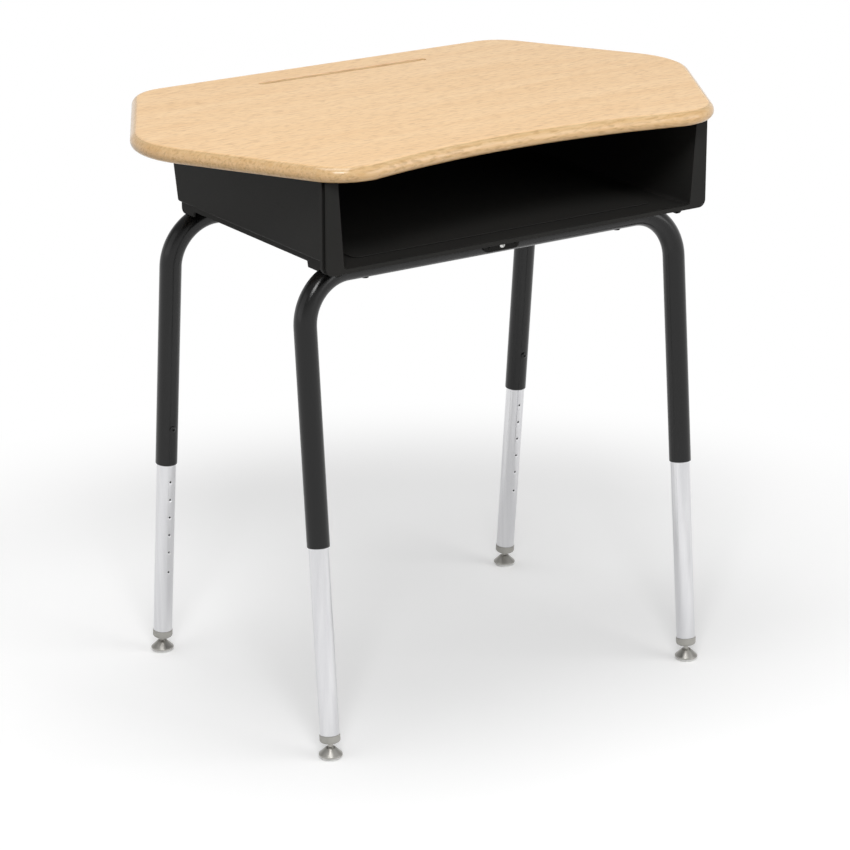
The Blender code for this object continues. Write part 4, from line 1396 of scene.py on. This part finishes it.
    def build(self) -> None:
        """Every piece of the leg, from the top down."""
        self.build_lock_screw()
        self.build_insert()
        self.build_cap()
        self.build_stem()
        self.build_foot()
        self.build_pad()


@dataclass
class Fixings:
    """The screws that hold top, box and frames together."""

    sizes: DeskSizes
    top_screw: Screw = Screw(0.004, 0.0025, 0.002)
    top_screw_bite: float = 0.010
    tab_screw: Screw = Screw(0.0042, 0.0026, 0.002)
    tab_screw_reach: float = 0.012
    frame_head: float = 0.0048
    frame_head_height: float = 0.001

    def build_frame_screws(self) -> None:
        """Screws up through the tubes into the thick floor of the box."""
        sizes = self.sizes
        screw = Screw(self.frame_head, self.frame_head_height, sizes.frame_screw_radius)
        for corner in Corner:
            bm = screw.solid(-sizes.frame_screw_reach, sizes.frame_screw(corner))
            Standing(f"frame_screw_{corner.word}", "desk", "black_paint", POWDER_COAT).add(bm)

    def build_top_screws(self) -> None:
        """Wood screws up through the flange."""
        sizes = self.sizes
        tip = -(self.top_screw_bite + sizes.flange_thickness + 2 * sizes.gap)
        for word, place in sizes.top_screws().items():
            bm = self.top_screw.solid(tip, place)
            Standing(f"top_screw_{word}", "desk", "zinc", ZINC).add(bm)

    def build(self) -> None:
        """Every fixing."""
        self.build_frame_screws()
        self.build_top_screws()
        bm = self.tab_screw.solid(-self.tab_screw_reach, self.sizes.tab_screw())
        Standing("centre_tab_screw", "desk", "zinc", ZINC).add(bm)


@dataclass(frozen=True)
class Lamp:
    """A soft square lamp."""

    name: str
    place: tuple[float, float, float]
    aim: tuple[float, float, float]
    size: tuple[float, float]
    watts: float

    def add(self) -> None:
        """Hangs the lamp."""
        data = bpy.data.lights.new(self.name, "AREA")
        data.shape = "RECTANGLE"
        data.size, data.size_y = self.size
        data.energy = self.watts
        lamp = bpy.data.objects.new(self.name, data)
        lamp.location = self.place
        way = Vector(self.aim) - Vector(self.place)
        lamp.rotation_euler = way.to_track_quat("-Z", "Y").to_euler()
        bpy.context.scene.collection.objects.link(lamp)


@dataclass
class Studio:
    """White floor and surroundings, soft lamps and the camera at the photo's view."""

    azimuth: float = math.radians(-34.143)
    elevation: float = math.radians(18.96)
    distance: float = 4.41495
    target: tuple[float, float, float] = (0.00117, -0.00191, 0.32357)
    sensor: float = 36.0
    focal_pixels: float = 3388.1
    photo_pixels: float = 850.0
    view_end: float = 200.0
    ambient: float = 0.22
    ceiling_grey: float = 0.4
    floor_size: float = 30.0
    floor_glow: float = 0.222
    floor_albedo: float = 0.9
    shadow_middle: tuple[float, float, float] = (-0.07, -0.10, 0.0)
    shadow_reach: tuple[float, float] = (0.76, 1.20)
    lamps: list[Lamp] = field(
        default_factory=lambda: [
            Lamp("overhead_softbox", (-0.38, 0.17, 4.2), (0.0, 0.0, 0.7), (2.0, 2.0), 53.0),
            Lamp("key_softbox", (-1.78, -2.64, 3.84), (0.0, 0.0, 0.66), (1.5, 1.5), 81.0),
            Lamp("right_softbox", (1.65, -2.35, 1.54), (0.0, 0.0, 0.66), (2.2, 1.8), 28.0),
            Lamp("left_softbox", (-2.84, 0.25, 1.60), (0.0, 0.0, 0.66), (2.4, 2.0), 9.0),
        ]
    )

    def seen(self, tree: NodeTree) -> Node:
        """1 for what the camera sees, straight or through a mirror or glass."""
        path = add_node(tree, "LightPath").outputs
        share = path["Is Camera Ray"]
        for kind in ("Is Glossy Ray", "Is Transmission Ray"):
            links = {0: share, 1: path[kind]}
            share = add_node(tree, "Math", links=links, operation="MAXIMUM")
        return share

    def build_world(self) -> None:
        """White where it is seen, a soft even light on everything else."""
        world = bpy.data.worlds.new("studio")
        tree = empty_tree(world)
        add = partial(add_node, tree)
        # Mirrors see white walls round the desk and a greyer ceiling above them.
        way = add("TexCoord").outputs["Generated"]
        height = add("SeparateXYZ", links={"Vector": way}).outputs["Z"]
        walls = {"From Min": 0.05, "From Max": 0.45, "To Min": 1.0, "To Max": self.ceiling_grey}
        mirrored = add("MapRange", walls, {"Value": height})
        links = {"Value": self.seen(tree), "To Max": mirrored}
        strength = add("MapRange", {"To Min": self.ambient}, links)
        light = add("Background", {"Color": (1, 1, 1, 1)}, {"Strength": strength})
        add("OutputWorld", links={"Surface": light})
        bpy.context.scene.world = world

    def build_floor(self) -> None:
        """A wide white floor that still shows the desk's soft shadow."""
        bm = bmesh.new()
        bmesh.ops.create_grid(bm, x_segments=1, y_segments=1, size=self.floor_size)
        floor = add_mesh(bm, "studio_floor")
        material = bpy.data.materials.new("white_floor")
        tree = empty_tree(material)
        add = partial(add_node, tree)
        matt = add("BsdfDiffuse", {"Color": (self.floor_albedo,) * 3 + (1.0,)})
        strength = add("Math", {1: self.floor_glow}, {0: self.seen(tree)}, operation="MULTIPLY")
        glow = add("Emission", links={"Strength": strength})
        near = add("AddShader", links={0: matt, 1: glow})
        # Past the reach of the desk's shadow the floor is a plain white backdrop.
        backdrop = add("Emission", links={"Strength": self.seen(tree)})
        spot = add("TexCoord").outputs["Object"]
        reach = add("VectorMath", {1: self.shadow_middle}, {0: spot}, operation="DISTANCE")
        fade = {"From Min": self.shadow_reach[0], "From Max": self.shadow_reach[1]}
        far = add("MapRange", fade, {"Value": reach}, interpolation_type="SMOOTHSTEP")
        both = add("MixShader", links={0: far, 1: near, 2: backdrop})
        # From below the floor is open, so that the underside of the desk can be looked at.
        from_below = add("NewGeometry").outputs["Backfacing"]
        nothing = add("BsdfTransparent")
        open_below = add("MixShader", links={0: from_below, 1: both, 2: nothing})
        add("OutputMaterial", links={"Surface": open_below})
        floor.data.materials.append(material)

    def build_camera(self) -> None:
        """The camera at the photo's view."""
        level = math.cos(self.elevation)
        back = Vector(
            (
                math.sin(self.azimuth) * level,
                -math.cos(self.azimuth) * level,
                math.sin(self.elevation),
            )
        )
        data = bpy.data.cameras.new("camera")
        data.sensor_width = self.sensor
        data.lens = self.focal_pixels * self.sensor / self.photo_pixels
        data.clip_end = self.view_end
        camera = bpy.data.objects.new("camera", data)
        camera.location = Vector(self.target) + back * self.distance
        camera.rotation_euler = (-back).to_track_quat("-Z", "Y").to_euler()
        bpy.context.scene.collection.objects.link(camera)
        bpy.context.scene.camera = camera

    def build(self) -> None:
        """Everything round the desk."""
        bpy.context.scene.view_settings.view_transform = "Standard"
        self.build_world()
        self.build_floor()
        for lamp in self.lamps:
            lamp.add()
        self.build_camera()


def main() -> None:
    """Builds the desk round its frame, then the studio."""
    logging.basicConfig(level=logging.INFO, format="%(message)s")
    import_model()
    sizes = DeskSizes()
    DeskTop(sizes).build()
    BookBox(sizes).build()
    for end in (-1, 1):
        LegFrame(sizes, end).build()
    for corner in Corner:
        Leg(sizes, corner).build()
    Fixings(sizes).build()
    Studio().build()


if __name__ == "__main__":
    main()
